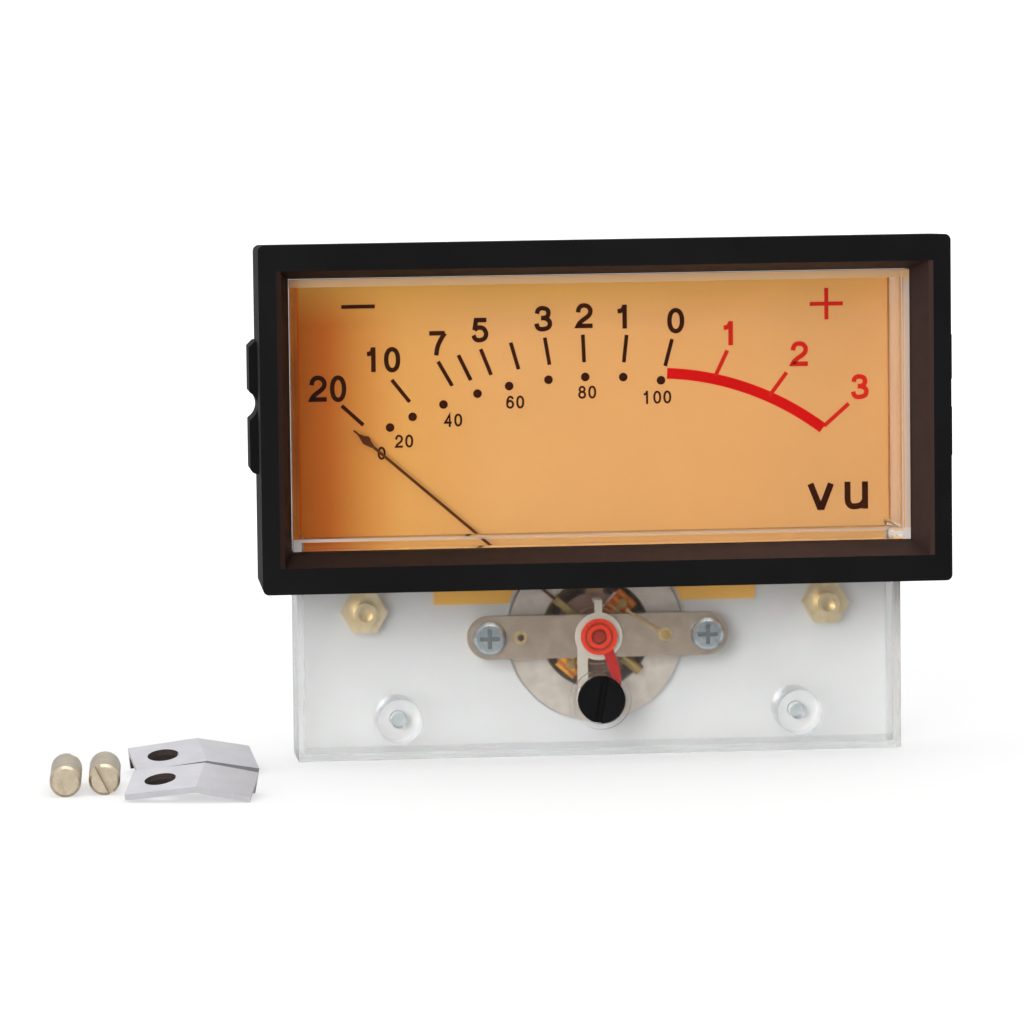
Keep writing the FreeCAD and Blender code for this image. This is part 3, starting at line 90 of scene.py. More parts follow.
# ---------------------------------------------------------------- materials
class Look:
    """One procedural material: a Principled shader with its own constants, and noise for colour and bump.

    Colours and greys may be sockets or numbers. Places and distances are in mm.
    """

    def __init__(self, name, **constants):
        self.material = bpy.data.materials.new(name)
        self.material.use_nodes = True
        self.tree = self.material.node_tree
        self.shader = self.tree.nodes["Principled BSDF"]
        self.output = self.tree.nodes["Material Output"].inputs["Surface"]
        self.place = self.tree.nodes.new("ShaderNodeTexCoord").outputs["Object"]
        for key, value in constants.items():
            self.shader.inputs[key.replace("_", " ")].default_value = value

    def node(self, kind, **properties):
        made = self.tree.nodes.new("ShaderNode" + kind)
        for key, value in properties.items():
            setattr(made, key, value)
        return made

    def join(self, source, target):
        self.tree.links.new(source, target)

    def feed(self, value, target):
        """Gives a socket or a number to an input; a number makes a grey where a colour is wanted."""
        if not isinstance(value, (int, float)):
            self.join(value, target)
        elif target.type == "RGBA":
            target.default_value = (value, value, value, 1)
        else:
            target.default_value = value

    # -- numbers and masks

    def maths(self, operation, a, b=0.0):
        made = self.node("Math", operation=operation)
        self.feed(a, made.inputs[0])
        self.feed(b, made.inputs[1])
        return made.outputs["Value"]

    def product(self, first, *others):
        """The product of sockets or numbers. Of masks, it is 1 where all of them are."""
        result = first
        for value in others:
            result = self.maths("MULTIPLY", result, value)
        return result

    def largest(self, first, *others):
        result = first
        for value in others:
            result = self.maths("MAXIMUM", result, value)
        return result

    def above(self, source, limit):
        return self.maths("GREATER_THAN", source, limit)

    def below(self, source, limit):
        return self.maths("LESS_THAN", source, limit)

    def near(self, source, middle, reach):
        """1 where the value lies within reach of the middle, else 0."""
        return self.below(self.maths("ABSOLUTE", self.maths("SUBTRACT", source, middle)), reach)

    def span(self, source, low, high, start=0.0, end=1.0):
        """Maps a value linearly, and keeps it between start and end."""
        made = self.node("MapRange")
        for name, value in (("From Min", low), ("From Max", high), ("To Min", start), ("To Max", end)):
            made.inputs[name].default_value = value
        self.join(source, made.inputs["Value"])
        return made.outputs["Result"]

    # -- places and noise

    def in_mm(self):
        made = self.node("VectorMath", operation="SCALE")
        made.inputs["Scale"].default_value = 1 / MM
        self.join(self.place, made.inputs[0])
        return made.outputs["Vector"]

    def axes(self):
        """The three coordinates of the place."""
        made = self.node("SeparateXYZ")
        self.join(self.in_mm(), made.inputs["Vector"])
        return made.outputs["X"], made.outputs["Y"], made.outputs["Z"]

    def distance(self, spot, share=(1, 1, 1)):
        """How far the place is from a spot. A share of 0 leaves an axis out."""
        gap = self.node("VectorMath", operation="SUBTRACT")
        self.join(self.in_mm(), gap.inputs[0])
        gap.inputs[1].default_value = spot
        kept = self.node("VectorMath", operation="MULTIPLY")
        self.join(gap.outputs["Vector"], kept.inputs[0])
        kept.inputs[1].default_value = share
        length = self.node("VectorMath", operation="LENGTH")
        self.join(kept.outputs["Vector"], length.inputs[0])
        return length.outputs["Value"]

    def noise(self, per_mm, detail=3.0, roughness=0.55, stretch=(1, 1, 1)):
        """Noise with per_mm grains to the millimetre."""
        mapping = self.node("Mapping")
        mapping.inputs["Scale"].default_value = stretch
        self.join(self.place, mapping.inputs["Vector"])
        made = self.node("TexNoise")
        made.inputs["Scale"].default_value = per_mm / MM
        made.inputs["Detail"].default_value = detail
        made.inputs["Roughness"].default_value = roughness
        self.join(mapping.outputs["Vector"], made.inputs["Vector"])
        return made.outputs["Fac"]

    # -- colours

    def ramp(self, source, *stops):
        """A colour ramp; each stop is (position, colour) with a grey or an RGB colour."""
        made = self.node("ValToRGB")
        elements = made.color_ramp.elements
        while len(elements) < len(stops):
            elements.new(0.5)
        for element, (position, colour) in zip(elements, stops):
            grey = isinstance(colour, (int, float))
            element.position = position
            element.color = (colour, colour, colour, 1) if grey else (*colour, 1)
        self.join(source, made.inputs["Fac"])
        return made.outputs["Color"]

    def ramp_along(self, source, *stops):
        """A colour ramp whose stops are (millimetres, colour), from low to high."""
        low, high = stops[0][0], stops[-1][0]
        shares = [((at - low) / (high - low), colour) for at, colour in stops]
        return self.ramp(self.span(source, low, high), *shares)

    def multiply(self, a, b):
        made = self.node("Mix", data_type="RGBA", blend_type="MULTIPLY")
        made.inputs["Factor"].default_value = 1
        self.feed(a, made.inputs["A"])
        self.feed(b, made.inputs["B"])
        return made.outputs["Result"]

    def blend(self, factor, a, b):
        made = self.node("Mix", data_type="RGBA")
        self.join(factor, made.inputs["Factor"])
        self.feed(a, made.inputs["A"])
        self.feed(b, made.inputs["B"])
        return made.outputs["Result"]

    # -- what the shader gets

    def colour(self, source):
        self.join(source, self.shader.inputs["Base Color"])

    def rough(self, source, low, high):
        made = self.node("MapRange")
        made.inputs["To Min"].default_value = low
        made.inputs["To Max"].default_value = high
        self.join(source, made.inputs["Value"])
        self.join(made.outputs["Result"], self.shader.inputs["Roughness"])

    def bump(self, source, height_um):
        made = self.node("Bump")
        made.inputs["Distance"].default_value = height_um * MICRON
        self.join(source, made.inputs["Height"])
        self.join(made.outputs["Normal"], self.shader.inputs["Normal"])

    def mix(self, share, a, b):
        """A mix of two shaders."""
        made = self.node("MixShader")
        self.join(share, made.inputs["Fac"])
        self.join(a, made.inputs[1])
        self.join(b, made.inputs[2])
        return made.outputs["Shader"]

    def lets_lamps_through(self, share, surface):
        """Glass whose shadow is faint: rays from lamps go straight through it."""
        clear = self.node("BsdfTransparent")
        self.feed(share, clear.inputs["Color"])
        is_shadow = self.node("LightPath").outputs["Is Shadow Ray"]
        self.join(self.mix(is_shadow, surface, clear.outputs["BSDF"]), self.output)


def moulded(name, dark, light, roughness, grain_um=3.0, per_mm=6.0, **constants):
    """Moulded plastic: slight cloudiness and the fine texture of the tool."""
    look = Look(name, **constants)
    look.colour(look.ramp(look.noise(0.12, 4), (0.3, dark), (0.7, light)))
    look.rough(look.noise(0.5, 5), *roughness)
    look.bump(look.noise(per_mm, 2), grain_um)
    return look


def metal(name, dark, light, roughness, stretch=(1, 1, 1), per_mm=8.0, height_um=0.8):
    """Worn or brushed metal: streaks along one direction, with stains in its colour."""
    look = Look(name, Metallic=1.0)
    streak = look.noise(per_mm, 3, 0.6, stretch)
    look.colour(look.ramp(look.noise(0.7, 5, 0.65), (0.3, dark), (0.68, light)))
    look.rough(streak, *roughness)
    look.bump(streak, height_um)
    return look


# Along Y: the front face of a bridge screw's head, and where the painted shade behind it is fullest.
SCREW_FACE, RECESS_SHADE_FULLEST = -3.3, -2.8


def bridge_screw_zinc():
    """Zinc with painted shade down in the cross recess and under the head's rim."""
    look = Look("bridge_screw_zinc", Metallic=1.0)
    face = look.ramp(look.noise(0.7, 5), (0.3, (0.50, 0.56, 0.58)), (0.68, (0.68, 0.74, 0.75)))
    # Painted shade: darker the deeper the place lies behind the head's front face.
    depth = look.span(look.axes()[1], SCREW_FACE, RECESS_SHADE_FULLEST)
    look.colour(look.multiply(face, look.ramp(depth, (0.1, 1.0), (0.9, 0.55))))
    look.rough(look.noise(8, 3), 0.16, 0.28)
    return look


# Under each clip's hole: the middle of a painted shadow on the part of the flange that lies in the dark.
FRONT_CLIP_SHADOW = (-59.5, -30.5, 1.5)
REAR_CLIP_SHADOW = (-58.1, -7.4, 1.5)
CLIP_SHADOW_RADIUS, CLIP_SHADOW_FADE = 5.5, 7.0
# Along X, between these, the painted shade on a clip's front edges runs from shade_left to shade_right.
CLIP_SHADE_LEFT, CLIP_SHADE_RIGHT = -57.5, -52.0
# A front edge's normal rises or falls by less than the first, and its Y lies below the second.
EDGE_TILT, EDGE_FORWARD = 0.6, -0.3


def clip_steel(name, shadow_spot, shade_left, shade_right):
    """Plated steel with painted shade: a painted shadow on the flange under the hole, and on the front edges
    painted shade that may run from shade_left to shade_right along X.
    """
    look = Look(name, Metallic=0.5)
    facing = look.node("SeparateXYZ")
    look.join(look.node("NewGeometry").outputs["Normal"], facing.inputs["Vector"])
    to_front = look.product(look.near(facing.outputs["Z"], 0, EDGE_TILT),
                            look.below(facing.outputs["Y"], EDGE_FORWARD))
    spot = look.span(look.distance(shadow_spot), CLIP_SHADOW_FADE, CLIP_SHADOW_RADIUS)
    plate = look.ramp(look.noise(0.4, 4), (0.3, (0.61, 0.60, 0.63)), (0.7, (0.67, 0.66, 0.69)))
    shade = look.ramp_along(look.axes()[0], (CLIP_SHADE_LEFT, shade_left), (CLIP_SHADE_RIGHT, shade_right))
    # Front edges take the painted shade.
    steel = look.blend(to_front, plate, look.multiply(plate, shade))
    # The colour of the painted shadow on the flange under the hole.
    dark = look.ramp(look.noise(2, 2), (0.0, (0.055, 0.04, 0.035)), (1.0, (0.08, 0.06, 0.052)))
    look.colour(look.blend(look.product(to_front, spot), steel, dark))
    look.rough(look.noise(3, 3, stretch=(0.3, 1, 1)), 0.36, 0.5)
    return look


JEWEL_HEAD_RADIUS = 2.4


def jewel_screw_lacquer():
    """Red lacquer, darker in rings round the middle of the screw's head."""
    look = Look("red_lacquer", Specular_IOR_Level=0.22)
    outward = look.span(look.distance((0, 0, PIVOT_HEIGHT), (1, 0, 1)), 0, JEWEL_HEAD_RADIUS)
    face = look.ramp(look.noise(1.5, 3), (0.3, (0.68, 0.025, 0.002)), (0.7, (0.78, 0.045, 0.004)))
    rings = look.ramp(outward, (0.0, 0.35), (0.27, 0.5), (0.31, 0.22), (0.41, 0.3), (0.46, 0.95),
                      (0.62, 1.0), (0.68, 0.5), (0.77, 0.55), (0.82, 1.0))
    look.colour(look.multiply(face, rings))
    look.rough(look.noise(0.5, 5), 0.22, 0.34)
    look.bump(look.noise(2, 2), 1.5)
    return look


# Tints of the window's front faces from left to right: the left wall, the pane and the right wall. The walls'
# amber, brown and pale bands are painted reflections of the dial and painted light; the pane's grey is the
# plastic's own.
PANE_TINT = 0.98
LEFT_WALL_REFLECTED_TINTS = ((-WINDOW_SIDE, (1, 0.39, 0.15)), (-40.275, (1, 0.37, 0.12)),
                   (-39.991, (1, 0.31, 0.083)), (-39.585, (1, 0.27, 0.063)), (-39.504, PANE_TINT))
RIGHT_WALL_REFLECTED_TINTS = ((39.463, PANE_TINT), (39.544, (0.70, 0.50, 0.29)), (39.666, (0.70, 0.50, 0.29)),
                    (39.829, (0.92, 0.86, 0.82)), (WINDOW_SIDE, (0.92, 0.86, 0.82)))
# A warm painted reflection of the dial on the front faces above the window's roof.
ROOF_REFLECTED_TINT = (1, 0.855, 0.75)
# The lower front is slightly darker in its side walls, and slightly matt below the ledge.
LOWER_WALL_TINTS = ((-WINDOW_SIDE, 0.95), (-38.976, 0.95), (-38.895, 1.0), (38.895, 1.0),
                    (38.976, (0.87, 0.86, 0.85)), (WINDOW_SIDE, (0.87, 0.86, 0.85)))
MATT_FROM, MATT_TO, MATT = 29.0, 27.0, 0.14
UNEVEN = 0.02
# Where the painted glints lie: the strip along the right edge, the window's lower corners (a middle and a
# reach, to the side and in height), the fillet along the ledge, and how far back the right wall's painted
# reflection gets less.
RIGHT_EDGE_FROM = 39.8
CORNER_SIDE, CORNER_HEIGHT = (40.1, 0.6), (28.9, 0.8)
FILLET_REACH, FILLET_LEFT, FILLET_RIGHT = 0.2, -39.5, -15
RIGHT_WALL_BACK = (-5.3, -5.0)
# How strong the painted glints on the window's moulded edges are, and the painted reflection on the inner
# face of its right wall.
ROOF_GLINT = 0.65
RIGHT_EDGE_GLINT = 0.65
CORNER_GLINT = 0.8
FILLET_GLINT = (0.75, 0.33)
RIGHT_WALL_REFLECTION = (0.78, 0.66)
# Colours of the painted glints on the window's front faces, by height from its lower corners to its roof.
GLINT_COLOURS = ((29.0, (0.80, 0.79, 0.78)), (30.008, (0.70, 0.63, 0.58)), (61.928, (0.70, 0.63, 0.58)),
                (ROOF_FOOT, (0.95, 0.64, 0.37)))


def painted_window_glints(look, front, x, y, z):
    """How strong the painted glints on the window's edges are, and the painted reflection of the dial on its
    right wall.
    """
    roof_edge = look.product(look.above(z, ROOF_FOOT), ROOF_GLINT)
    right_edge = look.product(look.above(x, RIGHT_EDGE_FROM), look.above(z, AMBER_FOOT), RIGHT_EDGE_GLINT)
    sideways = look.maths("ABSOLUTE", x)
    corner = look.product(look.near(sideways, *CORNER_SIDE), look.near(z, *CORNER_HEIGHT), CORNER_GLINT)
    along_fillet = look.span(x, FILLET_LEFT, FILLET_RIGHT, *FILLET_GLINT)
    fillet = look.product(look.near(z, LEDGE_TOP, FILLET_REACH), along_fillet)
    edges = look.product(front, look.largest(roof_edge, right_edge, corner, fillet))
    # The right wall's inner face gets a painted reflection of the dial, weaker behind the bezel.
    along_wall = look.span(y, *RIGHT_WALL_BACK, *RIGHT_WALL_REFLECTION)
    inner_face = look.product(look.near(x, RIGHT_WALL, REACH), look.above(z, LEDGE_TOP + REACH))
    return look.largest(edges, look.product(inner_face, along_wall))


def cover_plastic():
    """Clear plastic. The window's walls carry painted reflections of the dial's amber, and its moulded edges
    painted glints.
    """
    look = Look("clear_plastic", Transmission_Weight=1.0, IOR=1.49, Specular_IOR_Level=0.1)
    x, y, z = look.axes()
    front = look.below(y, WINDOW_FRONT + REACH)
    in_window = look.span(z, WINDOW_FOOT - REACH, WINDOW_FOOT + REACH)
    cloud = look.noise(0.1, 2)
    clear = look.ramp(cloud, (0.0, (0.974, 0.977, 0.977)), (1.0, (0.979, 0.982, 0.982)))
    plain = look.multiply(clear, look.blend(in_window, look.ramp_along(x, *LOWER_WALL_TINTS), 1.0))
    # Painted reflections of the dial along the window's walls and roof, on its front faces.
    sides = look.ramp_along(x, *LEFT_WALL_REFLECTED_TINTS, *RIGHT_WALL_REFLECTED_TINTS)
    roof = look.ramp_along(z, (ROOF_FOOT - REACH, 1.0), (ROOF_FOOT + REACH, ROOF_REFLECTED_TINT))
    look.colour(look.blend(front, plain, look.multiply(sides, roof)))
    uneven = look.product(look.noise(0.2, 3), UNEVEN)
    look.rough(look.maths("ADD", look.span(z, MATT_FROM, MATT_TO, 0.0, MATT), uneven), 0.0, 1.0)

    # Painted reflection of the dial on the right wall's inner face; the front faces take the glint colours.
    dial_reflection_colour = look.ramp(cloud, (0.0, (0.72, 0.42, 0.18)), (1.0, (0.78, 0.46, 0.20)))
    painted_glint = look.node("BsdfDiffuse")
    look.join(look.blend(front, dial_reflection_colour, look.ramp_along(z, *GLINT_COLOURS)), painted_glint.inputs["Color"])
    surface = look.mix(painted_window_glints(look, front, x, y, z), look.shader.outputs["BSDF"],
                       painted_glint.outputs["BSDF"])
    look.lets_lamps_through(0.985, surface)
    return look


# Along Y: in front of this, and inside the window, the base borders the dial.
BESIDE_DIAL = 2.2


def base_plastic():
    """White plastic, with the dial's amber light painted on where it borders the dial inside the window."""
    look = Look("white_plastic", Specular_IOR_Level=0.4, Subsurface_Weight=0.15, Subsurface_Scale=0.001)
    x, y, z = look.axes()
    dial_light_beside_dial = look.product(look.below(y, BESIDE_DIAL), look.above(z, AMBER_FOOT))
    cloud = look.noise(0.12, 4)
    white = look.ramp(cloud, (0.3, (0.64, 0.645, 0.645)), (0.7, (0.69, 0.695, 0.69)))
    # Painted light: the dial's amber on the white base, in the gap beside the dial.
    amber = look.ramp(cloud, (0.0, (0.88, 0.46, 0.15)), (1.0, (0.92, 0.50, 0.17)))
    look.colour(look.blend(dial_light_beside_dial, white, amber))
    look.rough(look.noise(0.5, 5), 0.38, 0.5)
    look.bump(look.noise(6, 2), 2.0)
    return look


# How far the sight's sloped walls and their painted light and shade reach from its middle: to the side, and
# up or down.
SLOPE_SIDE, SLOPE_RISE = 42.7, 19.2
SLOPE_SHADE = 42.0


def bezel_plastic():
    """Black plastic. The sloped walls of the sight have the dial's light painted on, paler and warmer, and
    lighter towards the right, where the key light from the left falls.
    """
    look = Look("bezel_plastic", Specular_IOR_Level=0.06)
    cloud = look.ramp(look.noise(0.1, 5), (0.25, (0.0066, 0.0066, 0.0070)), (0.75, (0.0105, 0.0102, 0.0106)))
    speck = look.ramp(look.noise(5, 2), (0.3, 0.8), (0.72, 1.0))
    x, y, z = look.axes()
    # Painted light on the sight's sloped walls: darker at the left, lighter and warmer at the right.
    across = look.span(x, -SLOPE_SHADE, SLOPE_SHADE)
    slope_painted_light = look.ramp(across, (0.2, (0.024, 0.012, 0.009)), (0.8, (0.052, 0.029, 0.025)))
    within = look.product(look.below(y, WINDOW_FRONT + REACH), look.near(x, 0, SLOPE_SIDE),
                          look.near(z, BEZEL_MIDDLE, SLOPE_RISE))
    look.colour(look.blend(within, look.multiply(cloud, speck), slope_painted_light))
    look.rough(look.noise(0.35, 5), 0.5, 0.64)
    look.bump(look.noise(9, 3), 4.0)
    return look


# The dial's colours run across it, to this far left and right of its middle.
DIAL_REACH = 39.0
# The heights between which the lower tab's painted light gives way to the plate, and the plate to the painted
# light of its top.
TAB_TOP, PLATE_FOOT = 27.0, 27.5
TOP_LIGHT_FROM, TOP_LIGHT_TO = 57.0, 62.5


def dial_plastic():
    """Amber plastic with painted light and shade: a deeper, darker orange at the left where the bezel shades
    it, and paler, yellower painted light at the top and on the lower tab.
    """
    look = Look("dial_amber", Roughness=0.45, Specular_IOR_Level=0.25)
    x, y, z = look.axes()
    across = look.span(x, -DIAL_REACH, DIAL_REACH)
    # Painted shade: darker, deeper orange towards the left edge, where the bezel's left wall shades the dial;
    # slightly darker at the right edge.
    face = look.ramp(across, (0.0, (0.88, 0.20, 0.002)), (0.05, (0.79, 0.18, 0.004)),
                     (0.09, (0.78, 0.27, 0.034)), (0.18, (0.86, 0.41, 0.095)), (0.35, (0.87, 0.435, 0.14)),
                     (0.75, (0.86, 0.425, 0.14)), (1.0, (0.75, 0.40, 0.145)))
    # Painted light on the top of the plate, which the bezel's frame shades.
    upper = look.ramp(across, (0.0, (0.98, 0.43, 0.06)), (0.16, (1.0, 0.50, 0.09)),
                      (1.0, (0.96, 0.47, 0.12)))
    # Painted light on the lower tab, which lies in the bezel's shade.
    tab = look.ramp(across, (0.0, (1.0, 0.54, 0.09)), (1.0, (1.0, 0.56, 0.12)))
    plate = look.blend(look.span(z, TOP_LIGHT_FROM, TOP_LIGHT_TO), face, upper)
    whole = look.blend(look.span(z, PLATE_FOOT, TAB_TOP), plate, tab)
    look.colour(look.multiply(whole, look.ramp(look.noise(0.06, 4), (0.3, 0.91), (0.7, 0.95))))
    look.bump(look.noise(12, 3), 1.2)
    return look


WIRE_SCALE = 420
# The coil is lit up to the first height and in the bezel's shade from the second.
COIL_LIGHT, COIL_SHADE = 13.5, 17.5


def coil_copper():
    """Enamelled wire. The upper side of the coil, in the bezel's shade, is a deeper red."""
    look = Look("coil_copper", Metallic=0.85, Coat_Weight=0.3, Coat_Roughness=0.15)
    wires = look.node("TexWave", wave_type="BANDS", bands_direction="DIAGONAL")
    wires.inputs["Scale"].default_value = WIRE_SCALE
    wires.inputs["Distortion"].default_value = 0.6
    look.join(look.place, wires.inputs["Vector"])
    bands = wires.outputs["Fac"]
    shade = look.ramp_along(look.axes()[2], (COIL_LIGHT, 1.0), (COIL_SHADE, (0.66, 0.42, 0.34)))
    look.colour(look.multiply(look.ramp(bands, (0.1, (0.66, 0.14, 0.012)), (0.8, (1.0, 0.47, 0.045))), shade))
    look.rough(look.noise(3, 3), 0.22, 0.36)
    look.bump(bands, 18)
    return look


def lamp_glass():
    look = Look("lamp_glass", Base_Color=(0.96, 0.96, 0.93, 1), Transmission_Weight=1.0, IOR=1.5)
    look.rough(look.noise(0.4, 3), 0.0, 0.04)
    look.lets_lamps_through(0.93, look.shader.outputs["BSDF"])
    return look


def make_looks():
    """All the materials by short name. Metals and plastics give a dark and a light colour, then the
    range of their roughness."""
    return {
        "bezel": bezel_plastic(),
        "clear": cover_plastic(),
        "white": base_plastic(),
        "dial": dial_plastic(),
        "lacquer": jewel_screw_lacquer(),
        "zinc_head": bridge_screw_zinc(),
        "copper": coil_copper(),
        "glass": lamp_glass(),
        "clip_front": clip_steel("clip_steel_front", FRONT_CLIP_SHADOW, 1.0, 1.0),
        # The rear clip's front edges get painted shade, darkest at the left.
        "clip_rear": clip_steel("clip_steel_rear", REAR_CLIP_SHADOW, 0.10, 0.45),

        "black_ink": moulded("scale_ink_dark", (0.036, 0.007, 0.001), (0.050, 0.010, 0.002), (0.5, 0.6),
                             0.6, 20, Specular_IOR_Level=0.02),
        "red_ink": moulded("scale_ink_red", (0.62, 0.003, 0.002), (0.70, 0.005, 0.004), (0.45, 0.55),
                           0.6, 20, Specular_IOR_Level=0.04),
        "red_ink_line": moulded("scale_ink_red_line", (0.60, 0.014, 0.006), (0.66, 0.02, 0.009),
                                (0.45, 0.55), 0.6, 20, Specular_IOR_Level=0.04),
        "insulator": moulded("insulator_brown", (0.20, 0.09, 0.04), (0.32, 0.16, 0.08), (0.5, 0.65)),
        "leg_red": moulded("leg_red", (0.42, 0.005, 0.002), (0.52, 0.014, 0.008), (0.36, 0.48),
                           1.5, 2, Specular_IOR_Level=0.08),
        "cream": moulded("lever_cream", (0.50, 0.465, 0.385), (0.58, 0.545, 0.465), (0.3, 0.42), 1.5, 3),
        "jewel": moulded("jewel_ruby", (0.35, 0.02, 0.05), (0.55, 0.05, 0.09), (0.05, 0.12), 0.2,
                         Transmission_Weight=0.5, IOR=1.76),
        "black": moulded("adjuster_plastic", (0.004, 0.004, 0.005), (0.008, 0.008, 0.009), (0.36, 0.48),
                         3.0, 7, Specular_IOR_Level=0.1),
        "pointer": moulded("pointer_dark", (0.09, 0.022, 0.004), (0.12, 0.032, 0.006), (0.45, 0.6),
                           0.6, 8, Specular_IOR_Level=0.06),
        "holder": moulded("lamp_base", (0.03, 0.03, 0.032), (0.05, 0.05, 0.052), (0.4, 0.55)),

        "nickel": metal("bridge_nickel", (0.33, 0.265, 0.205), (0.43, 0.35, 0.275), (0.34, 0.46),
                        (0.12, 1, 1.2), per_mm=10, height_um=1.2),
        "zinc": metal("screw_zinc", (0.50, 0.56, 0.58), (0.68, 0.74, 0.75), (0.16, 0.28)),
        "brass": metal("turned_brass", (0.60, 0.44, 0.22), (0.74, 0.57, 0.31), (0.22, 0.36)),
        "terminal": metal("terminal_brass", (0.78, 0.60, 0.33), (0.96, 0.83, 0.58), (0.24, 0.4)),
        "tin": metal("tinned_metal", (0.60, 0.60, 0.58), (0.72, 0.72, 0.70), (0.25, 0.42)),
        "bronze": metal("spring_bronze", (0.55, 0.36, 0.14), (0.74, 0.52, 0.24), (0.2, 0.32)),
        "iron": metal("soft_iron", (0.50, 0.44, 0.38), (0.66, 0.59, 0.52), (0.34, 0.5)),
        "alloy": metal("magnet_alloy", (0.22, 0.13, 0.10), (0.34, 0.21, 0.16), (0.3, 0.5)),
        "aluminium": metal("former_aluminium", (0.60, 0.60, 0.61), (0.76, 0.76, 0.77), (0.3, 0.44)),
        "cradle": metal("cradle_aluminium", (0.34, 0.22, 0.12), (0.46, 0.32, 0.18), (0.3, 0.44)),
        "balance": metal("balance_brass", (0.36, 0.24, 0.08), (0.52, 0.37, 0.14), (0.22, 0.36)),
        "kit_brass": metal("kit_brass", (0.50, 0.41, 0.29), (0.70, 0.61, 0.46), (0.26, 0.4), per_mm=5),
    }


NODE_LOOKS = {
    "bezel": "bezel", "front_cover": "clear", "rear_base": "white", "dial_plate": "dial",
    "case_screws": "zinc", "front_bridge": "nickel", "bridge_screws": "zinc_head",
    "bridge_spacers": "brass", "spacer_screws": "zinc", "insulating_washer": "insulator",
    "bridge_rivets": "brass", "front_jewel_screw": "lacquer", "front_jewel": "jewel",
    "friction_washer": "bronze", "rear_jewel": "jewel", "rear_jewel_screw": "brass",
    "rear_lock_nut": "zinc", "yoke_ring": "iron", "core_magnet": "alloy", "core_cradle": "cradle",
    "cradle_screws": "zinc", "cradle_washer": "brass", "hairspring_front": "bronze",
    "hairspring_rear": "bronze", "lead_wire": "bronze", "stop_pins": "brass",
    "terminal_stud_left": "terminal", "terminal_stud_right": "terminal",
    "terminal_inner_nuts": "terminal", "terminal_clamp_nuts": "terminal",
    "terminal_outer_nuts": "terminal", "terminal_washers": "tin", "solder_lugs": "tin",
    "link_strip_left": "terminal", "link_strip_right": "terminal", "lamp_bulbs": "glass",
    "lamp_holders": "holder", "lamp_pins": "tin", "coil_former": "aluminium",
    "coil_winding": "copper", "front_staff": "brass", "rear_staff": "brass",
    "spring_collets": "brass", "pointer": "pointer", "balance_cross": "balance",
    "balance_weights": "balance", "zero_lever": "cream", "lever_red_leg": "leg_red",
    "zero_adjuster": "black", "adjuster_clip": "zinc", "set_screw_left": "kit_brass",
    "set_screw_right": "kit_brass", "mounting_clip_front": "clip_front",
    "mounting_clip_rear": "clip_rear",
}
# Nodes whose sharp edges are rounded: the width in mm, and the segments.
ROUNDED = {"bezel": (0.22, 3), "zero_adjuster": (0.12, 2), "mounting_clip_front": (0.05, 1),
           "mounting_clip_rear": (0.05, 1)}
SHARP_ANGLE = 35
# A hair of air between the clear cover and what it stands against, so that light gets in.
COVER_SLACK = 0.03


def paint(thing, look):
    thing.data.materials.clear()
    thing.data.materials.append(look.material)


def round_edges(thing, width, segments):
    """Breaks the sharp edges of a CAD node, as a mould or a die does."""
    modifier = thing.modifiers.new("edges", "BEVEL")
    modifier.width = width * MM
    modifier.segments = segments
    modifier.limit_method = "ANGLE"
    modifier.angle_limit = math.radians(SHARP_ANGLE)
    modifier.harden_normals = True
    modifier.use_clamp_overlap = True


def dress_nodes(looks):
    for name, look in NODE_LOOKS.items():
        paint(NODES[name], looks[look])
    for name, (width, segments) in ROUNDED.items():
        round_edges(NODES[name], width, segments)
    slack = NODES["front_cover"].modifiers.new("slack", "DISPLACE")
    slack.strength, slack.mid_level = -COVER_SLACK * MM, 0.0


# ---------------------------------------------------------------- the scale on the dial
# Measures of the scale are in mm on the dial face, from the middle of the bezel.
INK = 0.03
RED_LINE_INK = 0.04
STROKE_STEP = 0.002
STROKE_STEPS = 4
PRINT_SHIFT = 0.18
PIVOT_RISE = PIVOT_HEIGHT - BEZEL_MIDDLE
ARC_RISE, ARC_RADIUS = -58.57, 62.19
# The least cosine of half a corner's turn, which keeps the mitre of a sharp corner short.
MITRE_LEAST = 0.35

# Angles are those of the line from the pivot, measured up from the left.
DOT_ANGLES = (40.9, 45.8, 50.5, 57.0, 64.3, 71.2, 79.9, 88.1, 96.6, 105.0)
DOT_DIAMETER = 1.15
TICK_ANGLES = (42.7, 51.9, 60.5, 64.3, 68.5, 74.2, 80.7, 88.0, 96.4, 105.1)
TICK_FROM, TICK_TO, TICK_WEIGHT = 1.95, 5.6, 0.5
MINUS = ((-33.26, 13.44), (-28.84, 13.44))
FIGURE_WEIGHT = 0.6
# Each figure with the x and z of its middle, its width and its height.
DARK_FIGURES = (("2", -36.48, 2.73, 2.36, 3.45), ("0", -33.84, 2.68, 2.16, 3.52),
                ("1", -29.43, 6.42, 1.18, 3.28), ("0", -26.66, 6.37, 2.16, 3.36),
                ("7", -20.56, 8.43, 2.42, 3.23), ("5", -15.04, 10.05, 2.28, 3.26),
                ("3", -6.62, 11.41, 2.38, 3.36), ("2", -1.17, 11.71, 2.32, 3.3),
                ("1", 3.87, 11.49, 1.24, 3.2), ("0", 10.98, 10.83, 2.28, 3.37))
SMALL_NUMBERS = (("0", -28.22, -5.95), ("20", -25.22, -4.42), ("40", -18.7, -1.77),
                 ("60", -10.46, 0.45), ("80", -0.89, 1.58), ("100", 8.42, 0.74))
SMALL_HEIGHT, SMALL_WEIGHT, SMALL_ADVANCE = 1.72, 0.28, 1.34
# Shares of a small figure's height: the widths of a 1 and of the others, and how far left a 1 stands.
SMALL_ONE, SMALL_OTHER, SMALL_ONE_SHIFT = 0.34, 0.62, 0.1
